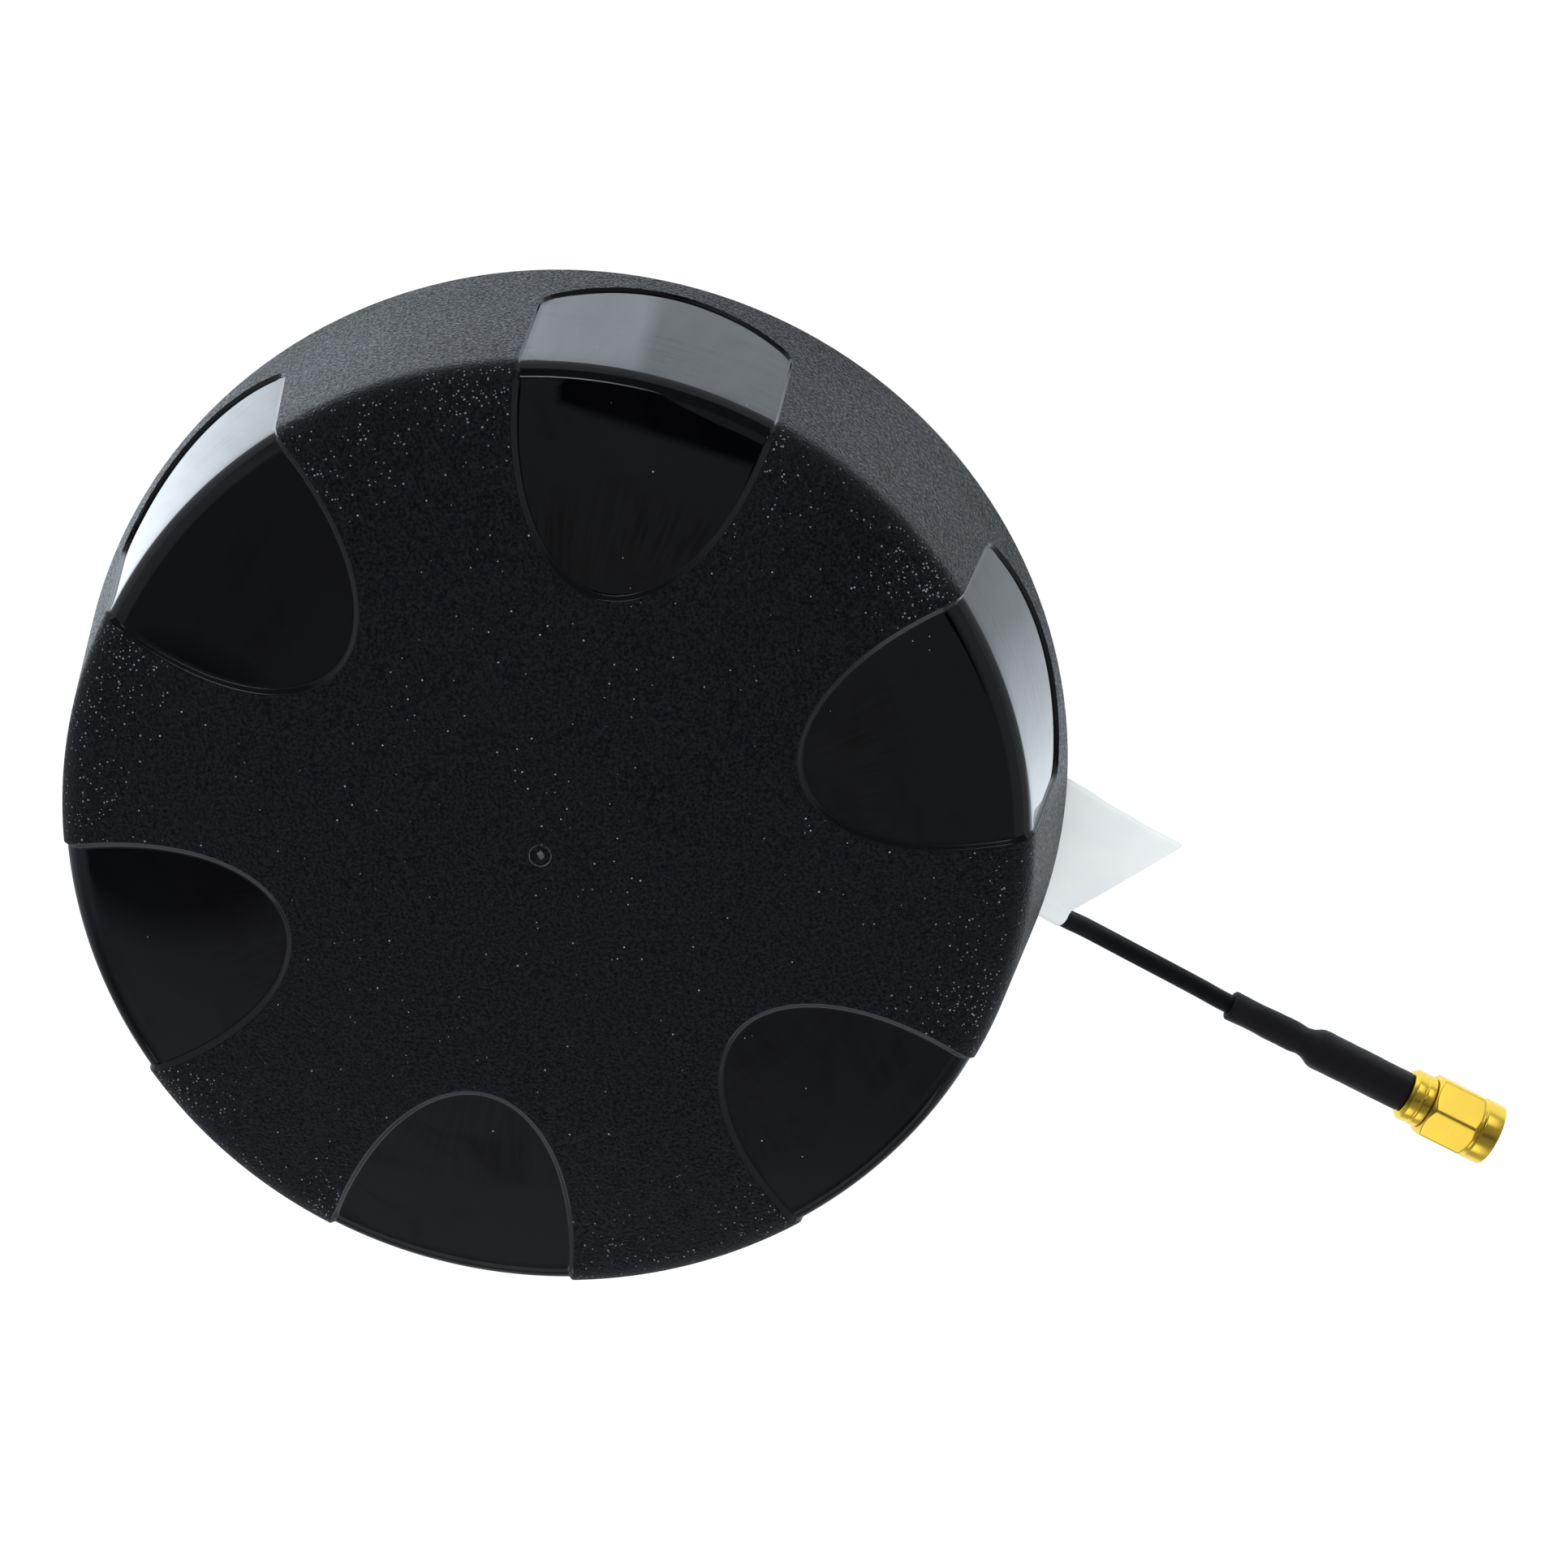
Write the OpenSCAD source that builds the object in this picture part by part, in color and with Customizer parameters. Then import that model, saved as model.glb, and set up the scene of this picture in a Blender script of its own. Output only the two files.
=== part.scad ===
// Round satellite antenna with a central pole boss and a short coax pigtail.
// Frame: +Z up through the dome, origin on the ground under the middle of the boss.
// All sizes are in millimetres.

/* [Radome] */
// Diameter of the widest ring
rim_d = 120; // [112:1:130]
// Height of the widest ring above the radome's lower edge
rim_drop = 2; // [1.6:0.1:2.6]
// Diameter of the shoulder, measured at its sharp corner
shoulder_d = 111.2; // [106:0.2:114]
// Height of the shoulder's sharp corner above the widest ring
shoulder_rise = 30.4; // [30:0.2:36]
// Rise of the crown above the shoulder
crown_rise = 4.2; // [3:0.1:6]
// Rounding of the shoulder
shoulder_round = 3.5; // [3.2:0.1:4.5]
// Wall of the radome
wall_t = 3; // [2.4:0.1:3.1]
// Thickness of the lip round the base plate
lip_t = 3.2; // [3:0.1:4]
// Diameter of the moulding gate's mark on the crown
gate_d = 2.6; // [2:0.1:4]

/* [Polished windows] */
// Number of windows round the radome
window_count = 6; // [3:1:6]
// Azimuth of the first window
window_az = 30; // [28:1:32]
// Width of a window
window_w = 29.7; // [24:0.1:30]
// Depth of a window below the textured skin
window_depth = 0.55; // [0.3:0.05:0.8]
// Length of the tongue's round end on the crown
tongue_l = 27.4; // [22:0.2:32]
// Distance from the axis to the foot of the tongue's round end
tongue_base = 58.2; // [56:0.2:60]
// Height of a window's foot above the widest ring
window_foot = 3.6; // [3:0.1:6]
// Radius of the bowed foot
foot_bow = 23; // [20:0.5:30]
// Rounding of the foot's corners
foot_round = 4; // [2:0.1:5]

/* [Base plate] */
// Thickness of the base plate
plate_t = 3.5; // [3.2:0.1:4]
// Depth of the base plate's underside inside the radome's lower edge
plate_recess = 0.5; // [0.2:0.1:1]
// Gap between the base plate and the radome's lip
plate_gap = 0.2; // [0.1:0.05:0.3]
// Section diameter of the radome's seal
seal_d = 1.7; // [1.4:0.1:2]
// Distance of the radome's screws from the lip
screw_inset = 6.3; // [6:0.1:7]
// Diameter of the radome's screw posts
post_d = 8; // [7:0.2:8.4]
// Height of the radome's screw posts
post_h = 12; // [10:0.5:14]
// Diameter of the radome's screws
screw_d = 2.6; // [2.2:0.1:2.8]
// Head diameter of the radome's screws
screw_head_d = 5.5; // [5:0.1:6]
// Diameter of the vent
vent_d = 9; // [7:0.5:11]
// Distance of the vent and the blank plate from the axis
vent_r = 36; // [35:0.5:38]
// Length of the blank rating plate
rating_l = 34; // [24:1:40]
// Width of the blank rating plate
rating_w = 12; // [8:1:14]

/* [Pole boss] */
// Height of the boss, from the ground to the base plate
boss_h = 27.5; // [26:0.5:32]
// Diameter of the boss
boss_d = 44; // [42:1:48]
// Diameter of the pole thread, modelled plain at its major diameter
thread_d = 15.88; // [14:0.01:17]
// Length of the pole thread
thread_l = 14; // [12:0.5:15]
// Outer diameter of the threaded insert
insert_d = 23; // [21:0.5:25]
// Diameter of the cable chamber above the thread
chamber_d = 16; // [14:0.5:17]
// Floor between the thread and the cable chamber
chamber_floor = 2; // [1:0.1:2]
// Distance of the boss screws from the axis
boss_screw_r = 16; // [15.5:0.1:17]
// Diameter of the boss screws
boss_screw_d = 4; // [3:0.1:4.2]

/* [Electronics] */
// Height of the board's standoffs
standoff_h = 6; // [5.5:0.1:7]
// Thickness of the board
board_t = 1.6; // [1:0.1:2]
// Side of the lower ceramic patch
lower_w = 56; // [50:1:58]
// Height of the lower ceramic patch
lower_h = 7; // [5:0.5:8]
// Side of the upper ceramic patch
upper_w = 38; // [30:1:40]
// Height of the upper ceramic patch
upper_h = 5; // [4:0.5:6]
// Margin between a patch and its metal plate
plate_margin = 4; // [3:0.2:5]
// Thickness of the metal plates on the patches
metal_t = 0.25; // [0.2:0.05:0.5]
// Diameter of the feed pins
pin_d = 1; // [0.8:0.1:1.2]
// Length of the shield can
can_l = 36; // [30:1:38]
// Width of the shield can
can_w = 22; // [20:1:22]
// Diameter of the foam pad under the crown
foam_d = 28; // [20:1:30]

/* [Cable] */
// Diameter of the coax cable
cable_d = 2.5; // [2.2:0.1:2.6]
// Azimuth of the cable gland
gland_az = 238; // [236:1:240]
// Height of the cable gland above the ground
gland_z = 20.5; // [20:0.1:21.5]
// Size across the flats of the gland's hexagon
gland_af = 8; // [7.5:0.1:9]
// Length of the flag label along the cable
flag_l = 20.8; // [12:0.2:20.8]
// Width of the flag label from the cable's middle
flag_w = 21.3; // [15:0.1:22]
// Thickness of the flag label, both layers together
flag_t = 0.3; // [0.2:0.05:0.4]
// Lean of the flag label, from level towards upright
flag_lean = 26; // [10:1:40]
// Diameter of the shrink sleeve on the cable
sleeve_thin_d = 4; // [3.6:0.1:4.6]
// Diameter of the shrink sleeve on the ferrule
sleeve_thick_d = 5.3; // [5.2:0.1:6]
// Length of the shrink sleeve on the ferrule
sleeve_thick_l = 14.4; // [12:0.1:16]
// Outer diameter of the crimp ferrule
ferrule_d = 4.2; // [3.8:0.1:4.4]

/* [Plug] */
// Size across the flats of the coupling nut
nut_af = 8; // [7.6:0.1:8.2]
// Turn of the coupling nut's hexagon about the plug's axis
nut_turn = 22; // [0:1:59]
// Length of the nut's hexagon
hex_l = 6.8; // [6:0.1:7.5]
// Diameter of the round front of the nut
ring_d = 8.3; // [7.6:0.1:8.4]
// Length of the round front of the nut
ring_l = 2.8; // [2.4:0.1:3.2]
// Diameter of the nut's thread, modelled plain
nut_thread_d = 6.4; // [6.3:0.05:6.6]
// Depth of the nut's thread
nut_thread_l = 5.6; // [5:0.1:6]
// Diameter of the plug's rear collar
collar_d = 7; // [6:0.1:7.6]
// Length of the plug's rear collar
collar_l = 3; // [2:0.1:3.5]
// Diameter of the plug's barrel inside the nut
barrel_d = 4.84; // [4.6:0.02:5]
// Running clearance of the nut round the barrel
nut_play = 0.08; // [0.05:0.01:0.1]
// Diameter of the plug's insulator
insulator_d = 4.1; // [3.6:0.05:4.2]
// Diameter of the plug's centre pin
contact_d = 0.92; // [0.8:0.02:1.1]

/* [Hidden] */

// The cable's route, from the gland's mouth to the back of the plug, chosen by hand.
// The label sits on the stretch from label_first to label_last, the sleeve from sleeve_first on.
ROUTE = [[-16.7, -26.7, 20.5], [-18.3, -29.3, 20.5], [-19.7, -31.5, 20.3], [-21.7, -34, 19.7],
    [-24.4, -36.4, 18.4], [-27.7, -38.7, 16.6], [-35.5, -44.2, 12.3], [-43.3, -49.7, 8],
    [-45.9, -51.9, 6.8], [-48.4, -54, 5.9], [-52, -57.3, 5.3], [-55.5, -60.7, 5.1],
    [-59, -64.1, 5], [-62.1, -67.1, 5], [-71.1, -76.4, 4.9], [-80.1, -85.7, 4.8]];
label_first = 5;
label_last = 7;
sleeve_first = 13;
cable_sides = 8;

$fn = 96;
small_fn = 32;
eps = 0.01;
touch = 0.05;

// Radome
rim_r = rim_d / 2;
shoulder_r = shoulder_d / 2;
radome_z = boss_h - plate_recess;
ring_z = radome_z + rim_drop;
draft = atan((rim_r - shoulder_r) / shoulder_rise);
crown_r = (pow(shoulder_r, 2) + pow(crown_rise, 2)) / (2 * crown_rise);
crown_c = [0, shoulder_rise + crown_rise - crown_r];
wall_up = [-sin(draft), cos(draft)];
wall_in = [-cos(draft), -sin(draft)];
round_from = [rim_r, 0] + shoulder_round * wall_in - crown_c;
round_s = -round_from * wall_up
    + sqrt(pow(round_from * wall_up, 2) - round_from * round_from + pow(crown_r - shoulder_round, 2));
round_c = crown_c + round_from + round_s * wall_up;
round_end = atan2(round_c[1] - crown_c[1], round_c[0]);
roof_z = ring_z + shoulder_rise + crown_rise - wall_t;
lip_r = rim_r - lip_t;
gate_depth = 0.15;
rib_t = 3;
skin = 1;

// Polished windows
window_half = window_w / 2;
foot_c = [0, window_foot + foot_bow];
foot_corner = [window_half - foot_round,
    foot_c[1] - sqrt(pow(foot_bow - foot_round, 2) - pow(window_half - foot_round, 2))];
foot_turn = atan2(foot_corner[1] - foot_c[1], foot_corner[0]);

// Base plate and what fastens it
plate_z = boss_h;
plate_top = plate_z + plate_t;
plate_r = lip_r - plate_gap;
seal_r = lip_r - seal_d / 2;
post_az = window_az + 180 / window_count;
post_pitch = lip_r - screw_inset;
screw_gap = 0.4;
counterbore_l = 2;
screw_head_l = counterbore_l - 0.1;
screw_l = post_h - 2;
vent_az = 60;
vent_l = 1;
vent_stem_d = vent_d / 2;
rating_az = 150;
rating_t = 0.15;

// Pole boss
boss_r = boss_d / 2;
boss_chamfer = 1;
chamber_z = thread_l + chamber_floor;
plate_hole_r = chamber_d / 2 - 2;
boss_seal_d = 1.4;
boss_seal_r = (chamber_d + boss_screw_r * 2 - boss_screw_d) / 4;
boss_screw_l = 10;
boss_head_d = boss_screw_d + 2.8;
boss_head_l = 2;
boss_screw_az = gland_az + 45;

// Electronics
board_r = post_pitch - post_d / 2 - 0.5;
board_z = plate_top + standoff_h;
board_top = board_z + board_t;
standoff_r = board_r - 6;
standoff_d = 5.5;
stud_d = 3;
stud_l = 2.4;
board_screw_d = 2.5;
board_screw_l = 4;
board_head_d = 5.4;
board_head_l = 1.8;
lower_top = board_top + lower_h;
upper_z = lower_top + metal_t;
upper_top = upper_z + upper_h;
foam_z = upper_top + metal_t + 0.3;
foam_top = roof_z - pow(foam_d / 2, 2) / (2 * (crown_r - wall_t)) - 0.3;
lower_feed_r = (lower_w / 2 - plate_margin + upper_w / 2) / 2;
upper_feed_r = 6;
pin_head_d = pin_d + 1;
pin_head_l = 0.3;
pin_tail = 0.3;
can_y = 11 + can_w / 2;
can_wall = 0.4;
can_h = standoff_h - boss_head_l - 0.6;
chip_w = 4;
chip_h = 1.3;
chips = [[-10, 8], [8, 6], [10, 15]];
jack_d = 4;
jack_h = 2.5;

// Cable gland
gland_hex_l = 3;
gland_neck_l = 1.6;
gland_cap_l = 4;
gland_shank_d = 6.4;
gland_shank_l = 10;
gland_neck_d = 5.6;
gland_cap_d = gland_af;
boot_d = 4.2;
boot_flange_d = 5;
boot_flange_l = 0.6;
boot_tip_d = cable_d + 0.8;
boot_tail_l = 2.5;
cap_z = boss_r + gland_hex_l;
cap_front = cap_z + gland_cap_l;
mouth_r = cap_front + boot_tail_l;
tail_bend_r = 7;
tail_lead = 2;

// Cable, sleeve and plug; the sleeve and the plug share one axis, starting at the plug's back
cable_r = cable_d / 2;
cable_hole_r = cable_r + touch;
route_end = len(ROUTE) - 1;
plug_at = ROUTE[route_end];
plug_dir = plug_at - ROUTE[sleeve_first];
label_dir = ROUTE[label_last] - ROUTE[label_first];
label_run = norm(label_dir);
sleeve_l = norm(plug_dir);
sleeve_step = 1.2;
ferrule_l = sleeve_thick_l - sleeve_step;
coupling_z = collar_l + 0.15;
nut_front = coupling_z + hex_l + ring_l;
thread_z = nut_front - nut_thread_l;
barrel_front = nut_front - 2.6;
nut_bore_r = barrel_d / 2 + nut_play;
snap_z = coupling_z + 1.6;
snap_l = 0.6;
snap_r = nut_bore_r + 0.4;
snap_seat_r = barrel_d / 2 - 0.2;
gasket_l = 0.6;
insulator_z = 1.5;
contact_front = nut_front - 0.6;

function turned(c, r, a0, a1, n) = [for (i = [0:n])
    let (a = a0 + (a1 - a0) * i / n) c + r * [cos(a), sin(a)]];

// The radome's section from the lower end z up, set in by depth from its outer skin
function wall_at(depth, z) = rim_r - depth / cos(draft) - z * tan(draft);
function shell_line(depth) = concat(
    turned(round_c, max(shoulder_round - depth, eps), draft, round_end, 6),
    turned(crown_c, crown_r - depth, round_end, 90, 16));
function shell_section(depth, z) = concat([[0, z], [wall_at(depth, z), z]], shell_line(depth));
rim_section = concat([[0, -rim_drop]], turned([rim_r - rim_drop, 0], rim_drop, -90, 0, 5), shell_line(0));

// A window seen from above, with its round end towards the axis, and seen from the side
tongue = concat([for (i = [0:24]) let (a = -90 + 7.5 * i)
        [tongue_base - tongue_l * cos(a), window_half * sin(a)]],
    [[rim_r + skin, window_half], [rim_r + skin, -window_half]]);
foot_half = concat(turned(foot_c, foot_bow, -90, foot_turn, 6), turned(foot_corner, foot_round, foot_turn, 0, 6));
window_side = concat([for (p = foot_half) p], [[window_half, rim_r], [-window_half, rim_r]],
    [for (i = [len(foot_half) - 1:-1:1]) [-foot_half[i][0], foot_half[i][1]]]);

module shell(points) {
    translate([0, 0, ring_z]) rotate_extrude() polygon(points);
}

module around(count, radius, start = 0) {
    for (i = [0:count - 1]) rotate([0, 0, start + 360 / count * i]) translate([radius, 0, 0]) children();
}

// Local Z runs along dir from the point at, local X is level and local Y looks up
module along(at, dir) {
    translate(at)
        rotate([0, acos(dir[2] / norm(dir)), atan2(dir[1], dir[0])])
        rotate([0, 0, 90]) children();
}

module drum(d, h, z = 0) {
    translate([0, 0, z]) cylinder(d = d, h = h);
}

module collar(outer, inner, h, z = 0) {
    difference() {
        drum(outer, h, z);
        drum(inner, h + 2 * eps, z - eps);
    }
}

module ring(radius, d, z) {
    translate([0, 0, z]) rotate_extrude() translate([radius, 0]) circle(d = d, $fn = small_fn);
}

module block(w, l, h, z) {
    translate([-w / 2, -l / 2, z]) cube([w, l, h]);
}

// A tube swept along points, with flat ends
module tube(points, r) {
    last = len(points) - 1;
    rings = [for (i = [0:last])
        let (d = points[min(i + 1, last)] - points[max(i - 1, 0)], z = d / norm(d),
            x = cross(abs(z[2]) > 0.9 ? [1, 0, 0] : [0, 0, 1], z), u = x / norm(x), v = cross(z, u))
        for (k = [0:cable_sides - 1])
            let (a = 360 / cable_sides * (k + 0.5)) points[i] + r * (cos(a) * u + sin(a) * v)];
    n = cable_sides;
    polyhedron(rings, concat(
        [[for (k = [0:n - 1]) k]],
        [for (i = [0:last - 1], k = [0:n - 1])
            [i * n + k, (i + 1) * n + k, (i + 1) * n + (k + 1) % n, i * n + (k + 1) % n]],
        [[for (k = [n - 1:-1:0]) last * n + k]]));
}

module window_cut() {
    intersection() {
        translate([0, 0, ring_z]) linear_extrude(rim_r) polygon(tongue);
        translate([0, 0, ring_z]) rotate([90, 0, 90]) linear_extrude(rim_r + skin) polygon(window_side);
    }
}

module post() {
    translate([0, 0, plate_top]) {
        cylinder(d = post_d, h = post_h);
        translate([0, -rib_t / 2, 0]) cube([rim_r - post_pitch, rib_t, post_h]);
    }
}

module radome() {
    color([0.05, 0.05, 0.06]) difference() {
        union() {
            difference() {
                shell(rim_section);
                around(window_count, 0, window_az) window_cut();
            }
            shell(shell_section(window_depth, rim_drop / 2));
        }
        difference() {
            union() {
                shell(shell_section(wall_t, plate_top - ring_z));
                drum(2 * lip_r, plate_top - radome_z + eps, radome_z - eps);
            }
            intersection() {
                around(window_count, post_pitch, post_az) post();
                shell(shell_section(skin, rim_drop / 2));
            }
        }
        around(window_count, post_pitch, post_az) drum(screw_d + 2 * touch, screw_l + touch, plate_top - eps);
        collar(gate_d, gate_d / 2, 10, ring_z + shoulder_rise + crown_rise - gate_depth);
    }
}

module radome_seal() {
    color([0.35, 0.1, 0.08]) ring(seal_r, seal_d, plate_z + plate_t / 2);
}

module base_plate() {
    color([0.1, 0.1, 0.11]) difference() {
        drum(2 * plate_r, plate_t, plate_z);
        collar(2 * rim_r, 2 * (lip_r - seal_d), seal_d, plate_z + (plate_t - seal_d) / 2);
        drum(2 * plate_hole_r, plate_t + 2, plate_z - 1);
        around(window_count, post_pitch, post_az) {
            drum(screw_d + screw_gap, plate_t + 2, plate_z - 1);
            drum(screw_head_d + screw_gap, counterbore_l + 1, plate_z - 1);
        }
        around(4, boss_screw_r, boss_screw_az) drum(boss_screw_d + screw_gap, plate_t + 2, plate_z - 1);
        around(4, standoff_r) drum(stud_d + 2 * touch, stud_l + 1, plate_top - stud_l - touch);
        around(1, vent_r, vent_az) drum(vent_stem_d + 2 * touch, plate_t + 2, plate_z - 1);
    }
}

module base_screws() {
    color([0.7, 0.7, 0.72]) around(window_count, post_pitch, post_az) {
        screw_z = plate_z + counterbore_l;
        difference() {
            drum(screw_head_d, screw_head_l, screw_z - screw_head_l);
            translate([0, 0, screw_z - screw_head_l - eps]) cylinder(d = screw_d, h = 1, $fn = 6);
        }
        drum(screw_d, plate_top + screw_l - 1 - screw_z, screw_z);
    }
}

module vent_plug() {
    color([0.16, 0.16, 0.17]) around(1, vent_r, vent_az) {
        difference() {
            drum(vent_d, vent_l, plate_z - vent_l);
            drum(vent_stem_d, vent_l / 2, plate_z - vent_l - eps);
        }
        drum(vent_stem_d, plate_t + vent_l / 2, plate_z);
    }
}

module rating_plate() {
    color([0.75, 0.76, 0.78]) around(1, vent_r, rating_az) block(rating_w, rating_l, rating_t, plate_z - rating_t);
}

module mount_boss() {
    color([0.14, 0.14, 0.15]) difference() {
        rotate_extrude() polygon([[0, 0], [boss_r - boss_chamfer, 0], [boss_r, boss_chamfer],
            [boss_r, boss_h], [0, boss_h]]);
        drum(insert_d + 2 * touch, thread_l + touch + 1, -1);
        drum(chamber_d, boss_h, chamber_z);
        collar(2 * boss_seal_r + boss_seal_d, 2 * boss_seal_r - boss_seal_d, boss_h, boss_h - boss_seal_d);
        around(4, boss_screw_r, boss_screw_az)
            drum(boss_screw_d + 2 * touch, boss_h, boss_h - boss_screw_l - touch);
        gland_place() drum(gland_shank_d + 2 * touch, boss_r);
    }
}

module thread_insert() {
    color([0.72, 0.58, 0.3]) collar(insert_d, thread_d, thread_l);
}

module boss_seal() {
    color([0.35, 0.1, 0.08]) ring(boss_seal_r, boss_seal_d, boss_h - boss_seal_d / 2);
}

module boss_screws() {
    color([0.7, 0.7, 0.72]) around(4, boss_screw_r, boss_screw_az) {
        difference() {
            drum(boss_head_d, boss_head_l, plate_top);
            translate([0, 0, plate_top + 1]) cylinder(d = boss_screw_d * 0.7, h = 2, $fn = 6);
        }
        drum(boss_screw_d, plate_t + boss_screw_l - 1, plate_top - plate_t - boss_screw_l + 1);
    }
}

module board_standoffs() {
    color([0.78, 0.66, 0.35]) around(4, standoff_r) difference() {
        union() {
            drum(standoff_d, standoff_h, plate_top);
            drum(stud_d, stud_l, plate_top - stud_l);
        }
        drum(board_screw_d + 2 * touch, standoff_h, board_z - board_screw_l - touch);
    }
}

module feed_holes(h, z) {
    around(4, lower_feed_r) drum(pin_d + 2 * touch, h, z);
    around(4, upper_feed_r) drum(pin_d + 2 * touch, h, z);
}

module main_board() {
    color([0.1, 0.32, 0.16]) difference() {
        drum(2 * board_r, board_t, board_z);
        around(4, standoff_r) drum(board_screw_d + screw_gap, board_t + 2, board_z - 1);
        feed_holes(board_t + 2, board_z - 1);
    }
}

module board_screws() {
    color([0.7, 0.7, 0.72]) around(4, standoff_r) {
        drum(board_head_d, board_head_l, board_top);
        drum(board_screw_d, board_t + board_screw_l, board_z - board_screw_l);
    }
}

module shield_can() {
    color([0.75, 0.76, 0.78]) translate([0, can_y, 0]) difference() {
        block(can_l, can_w, can_h, board_z - can_h);
        block(can_l - 2 * can_wall, can_w - 2 * can_wall, can_h, board_z - can_h + can_wall);
    }
}

module filter_chips() {
    color([0.18, 0.18, 0.2]) for (c = chips)
        translate([c[0], can_y - can_w / 2 + c[1], 0]) block(chip_w, chip_w, chip_h, board_z - chip_h);
}

module board_jack() {
    color([0.8, 0.65, 0.3]) drum(jack_d, jack_h, board_z - jack_h);
}

module lower_patch() {
    color([0.86, 0.8, 0.7]) difference() {
        block(lower_w, lower_w, lower_h, board_top);
        feed_holes(lower_h + 2, board_top - 1);
    }
}

module lower_plate() {
    color([0.83, 0.82, 0.8]) difference() {
        block(lower_w - 2 * plate_margin, lower_w - 2 * plate_margin, metal_t, lower_top);
        feed_holes(metal_t + 2, lower_top - 1);
    }
}

module upper_patch() {
    color([0.86, 0.8, 0.7]) difference() {
        block(upper_w, upper_w, upper_h, upper_z);
        around(4, upper_feed_r) drum(pin_d + 2 * touch, upper_h + 2, upper_z - 1);
    }
}

module upper_plate() {
    color([0.83, 0.82, 0.8]) difference() {
        block(upper_w - 2 * plate_margin, upper_w - 2 * plate_margin, metal_t, upper_top);
        around(4, upper_feed_r) drum(pin_d + 2 * touch, metal_t + 2, upper_top - 1);
    }
}

module feed_pin(top) {
    drum(pin_d, top - board_z + pin_tail, board_z - pin_tail);
    drum(pin_head_d, pin_head_l - touch, top);
}

module feed_pins() {
    color([0.8, 0.65, 0.3]) {
        around(4, lower_feed_r) feed_pin(upper_z);
        around(4, upper_feed_r) feed_pin(upper_top + metal_t);
    }
}

module foam_pad() {
    color([0.3, 0.3, 0.32]) drum(foam_d, foam_top - foam_z, foam_z);
}

// The gland's axis, running out from the middle of the boss
module gland_place() {
    along([0, 0, gland_z], [cos(gland_az), sin(gland_az), 0]) children();
}

module gland_body() {
    color([0.12, 0.12, 0.13]) gland_place() difference() {
        union() {
            drum(gland_shank_d, gland_shank_l, boss_r - gland_shank_l);
            translate([0, 0, boss_r]) cylinder(d = gland_af / cos(30), h = gland_hex_l, $fn = 6);
            drum(gland_neck_d, gland_neck_l, cap_z);
        }
        drum(2 * cable_hole_r, mouth_r);
    }
}

module gland_cap() {
    color([0.12, 0.12, 0.13]) gland_place() difference() {
        union() {
            drum(gland_cap_d, gland_cap_l / 2, cap_z);
            translate([0, 0, cap_z + gland_cap_l / 2])
                cylinder(d1 = gland_cap_d, d2 = boot_d + 1.6, h = gland_cap_l / 2);
        }
        drum(gland_neck_d + 2 * touch, gland_neck_l + boot_flange_l + touch + eps, cap_z - eps);
        drum(boot_d + 2 * touch, gland_cap_l + 2, cap_z);
    }
}

module gland_boot() {
    boot_z = cap_z + gland_neck_l;
    color([0.06, 0.06, 0.06]) gland_place() difference() {
        union() {
            drum(boot_flange_d, boot_flange_l, boot_z);
            drum(boot_d, cap_front - boot_z, boot_z);
            translate([0, 0, cap_front]) cylinder(d1 = boot_d, d2 = boot_tip_d, h = boot_tail_l);
        }
        drum(2 * cable_hole_r, mouth_r);
    }
}

module coax_tail() {
    out = [cos(gland_az), sin(gland_az), 0];
    end_z = board_z - jack_h;
    rise = end_z - tail_lead - gland_z;
    bend = [for (a = [0:15:90]) out * tail_bend_r * (1 - sin(a)) + [0, 0, gland_z + rise * (1 - cos(a))]];
    color([0.05, 0.05, 0.05])
        tube(concat([out * mouth_r + [0, 0, gland_z]], bend, [[0, 0, end_z]]), cable_r);
}

module coax_cable() {
    color([0.04, 0.04, 0.05]) tube(ROUTE, cable_r);
}

module flag_label() {
    color([0.93, 0.94, 0.95]) along(ROUTE[label_first], label_dir) rotate([0, 0, flag_lean])
        translate([0, 0, label_run - flag_l]) difference() {
            union() {
                drum(2 * cable_r + flag_t, flag_l);
                translate([0, -flag_t / 2, 0]) cube([flag_w, flag_t, flag_l]);
            }
            drum(2 * cable_r, flag_l + 2, -1);
        }
}

module cable_sleeve() {
    thick_z = sleeve_l - sleeve_thick_l;
    color([0.06, 0.06, 0.065]) along(ROUTE[sleeve_first], plug_dir) difference() {
        rotate_extrude() polygon([[0, 0], [sleeve_thin_d / 2, 0], [sleeve_thin_d / 2, thick_z],
            [sleeve_thick_d / 2, thick_z + sleeve_step], [sleeve_thick_d / 2, sleeve_l], [0, sleeve_l]]);
        drum(2 * cable_hole_r, sleeve_l + 2, -1);
        drum(ferrule_d + 2 * touch, ferrule_l + 1, sleeve_l - ferrule_l - touch);
    }
}

module crimp_ferrule() {
    color([0.85, 0.68, 0.25]) along(plug_at, plug_dir)
        collar(ferrule_d, 2 * cable_hole_r, ferrule_l, -ferrule_l);
}

module plug_body() {
    color([0.85, 0.68, 0.25]) along(plug_at, plug_dir) difference() {
        union() {
            drum(collar_d, collar_l);
            drum(barrel_d, barrel_front);
        }
        collar(barrel_d + 1, 2 * snap_seat_r, snap_l + 2 * touch, snap_z - touch);
        drum(insulator_d + 2 * touch, barrel_front, insulator_z - touch);
    }
}

module plug_insulator() {
    color([0.93, 0.93, 0.9]) along(plug_at, plug_dir)
        collar(insulator_d, contact_d + 2 * touch, barrel_front - insulator_z, insulator_z);
}

module plug_pin() {
    color([0.85, 0.68, 0.25]) along(plug_at, plug_dir)
        drum(contact_d, contact_front - insulator_z, insulator_z);
}

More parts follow.
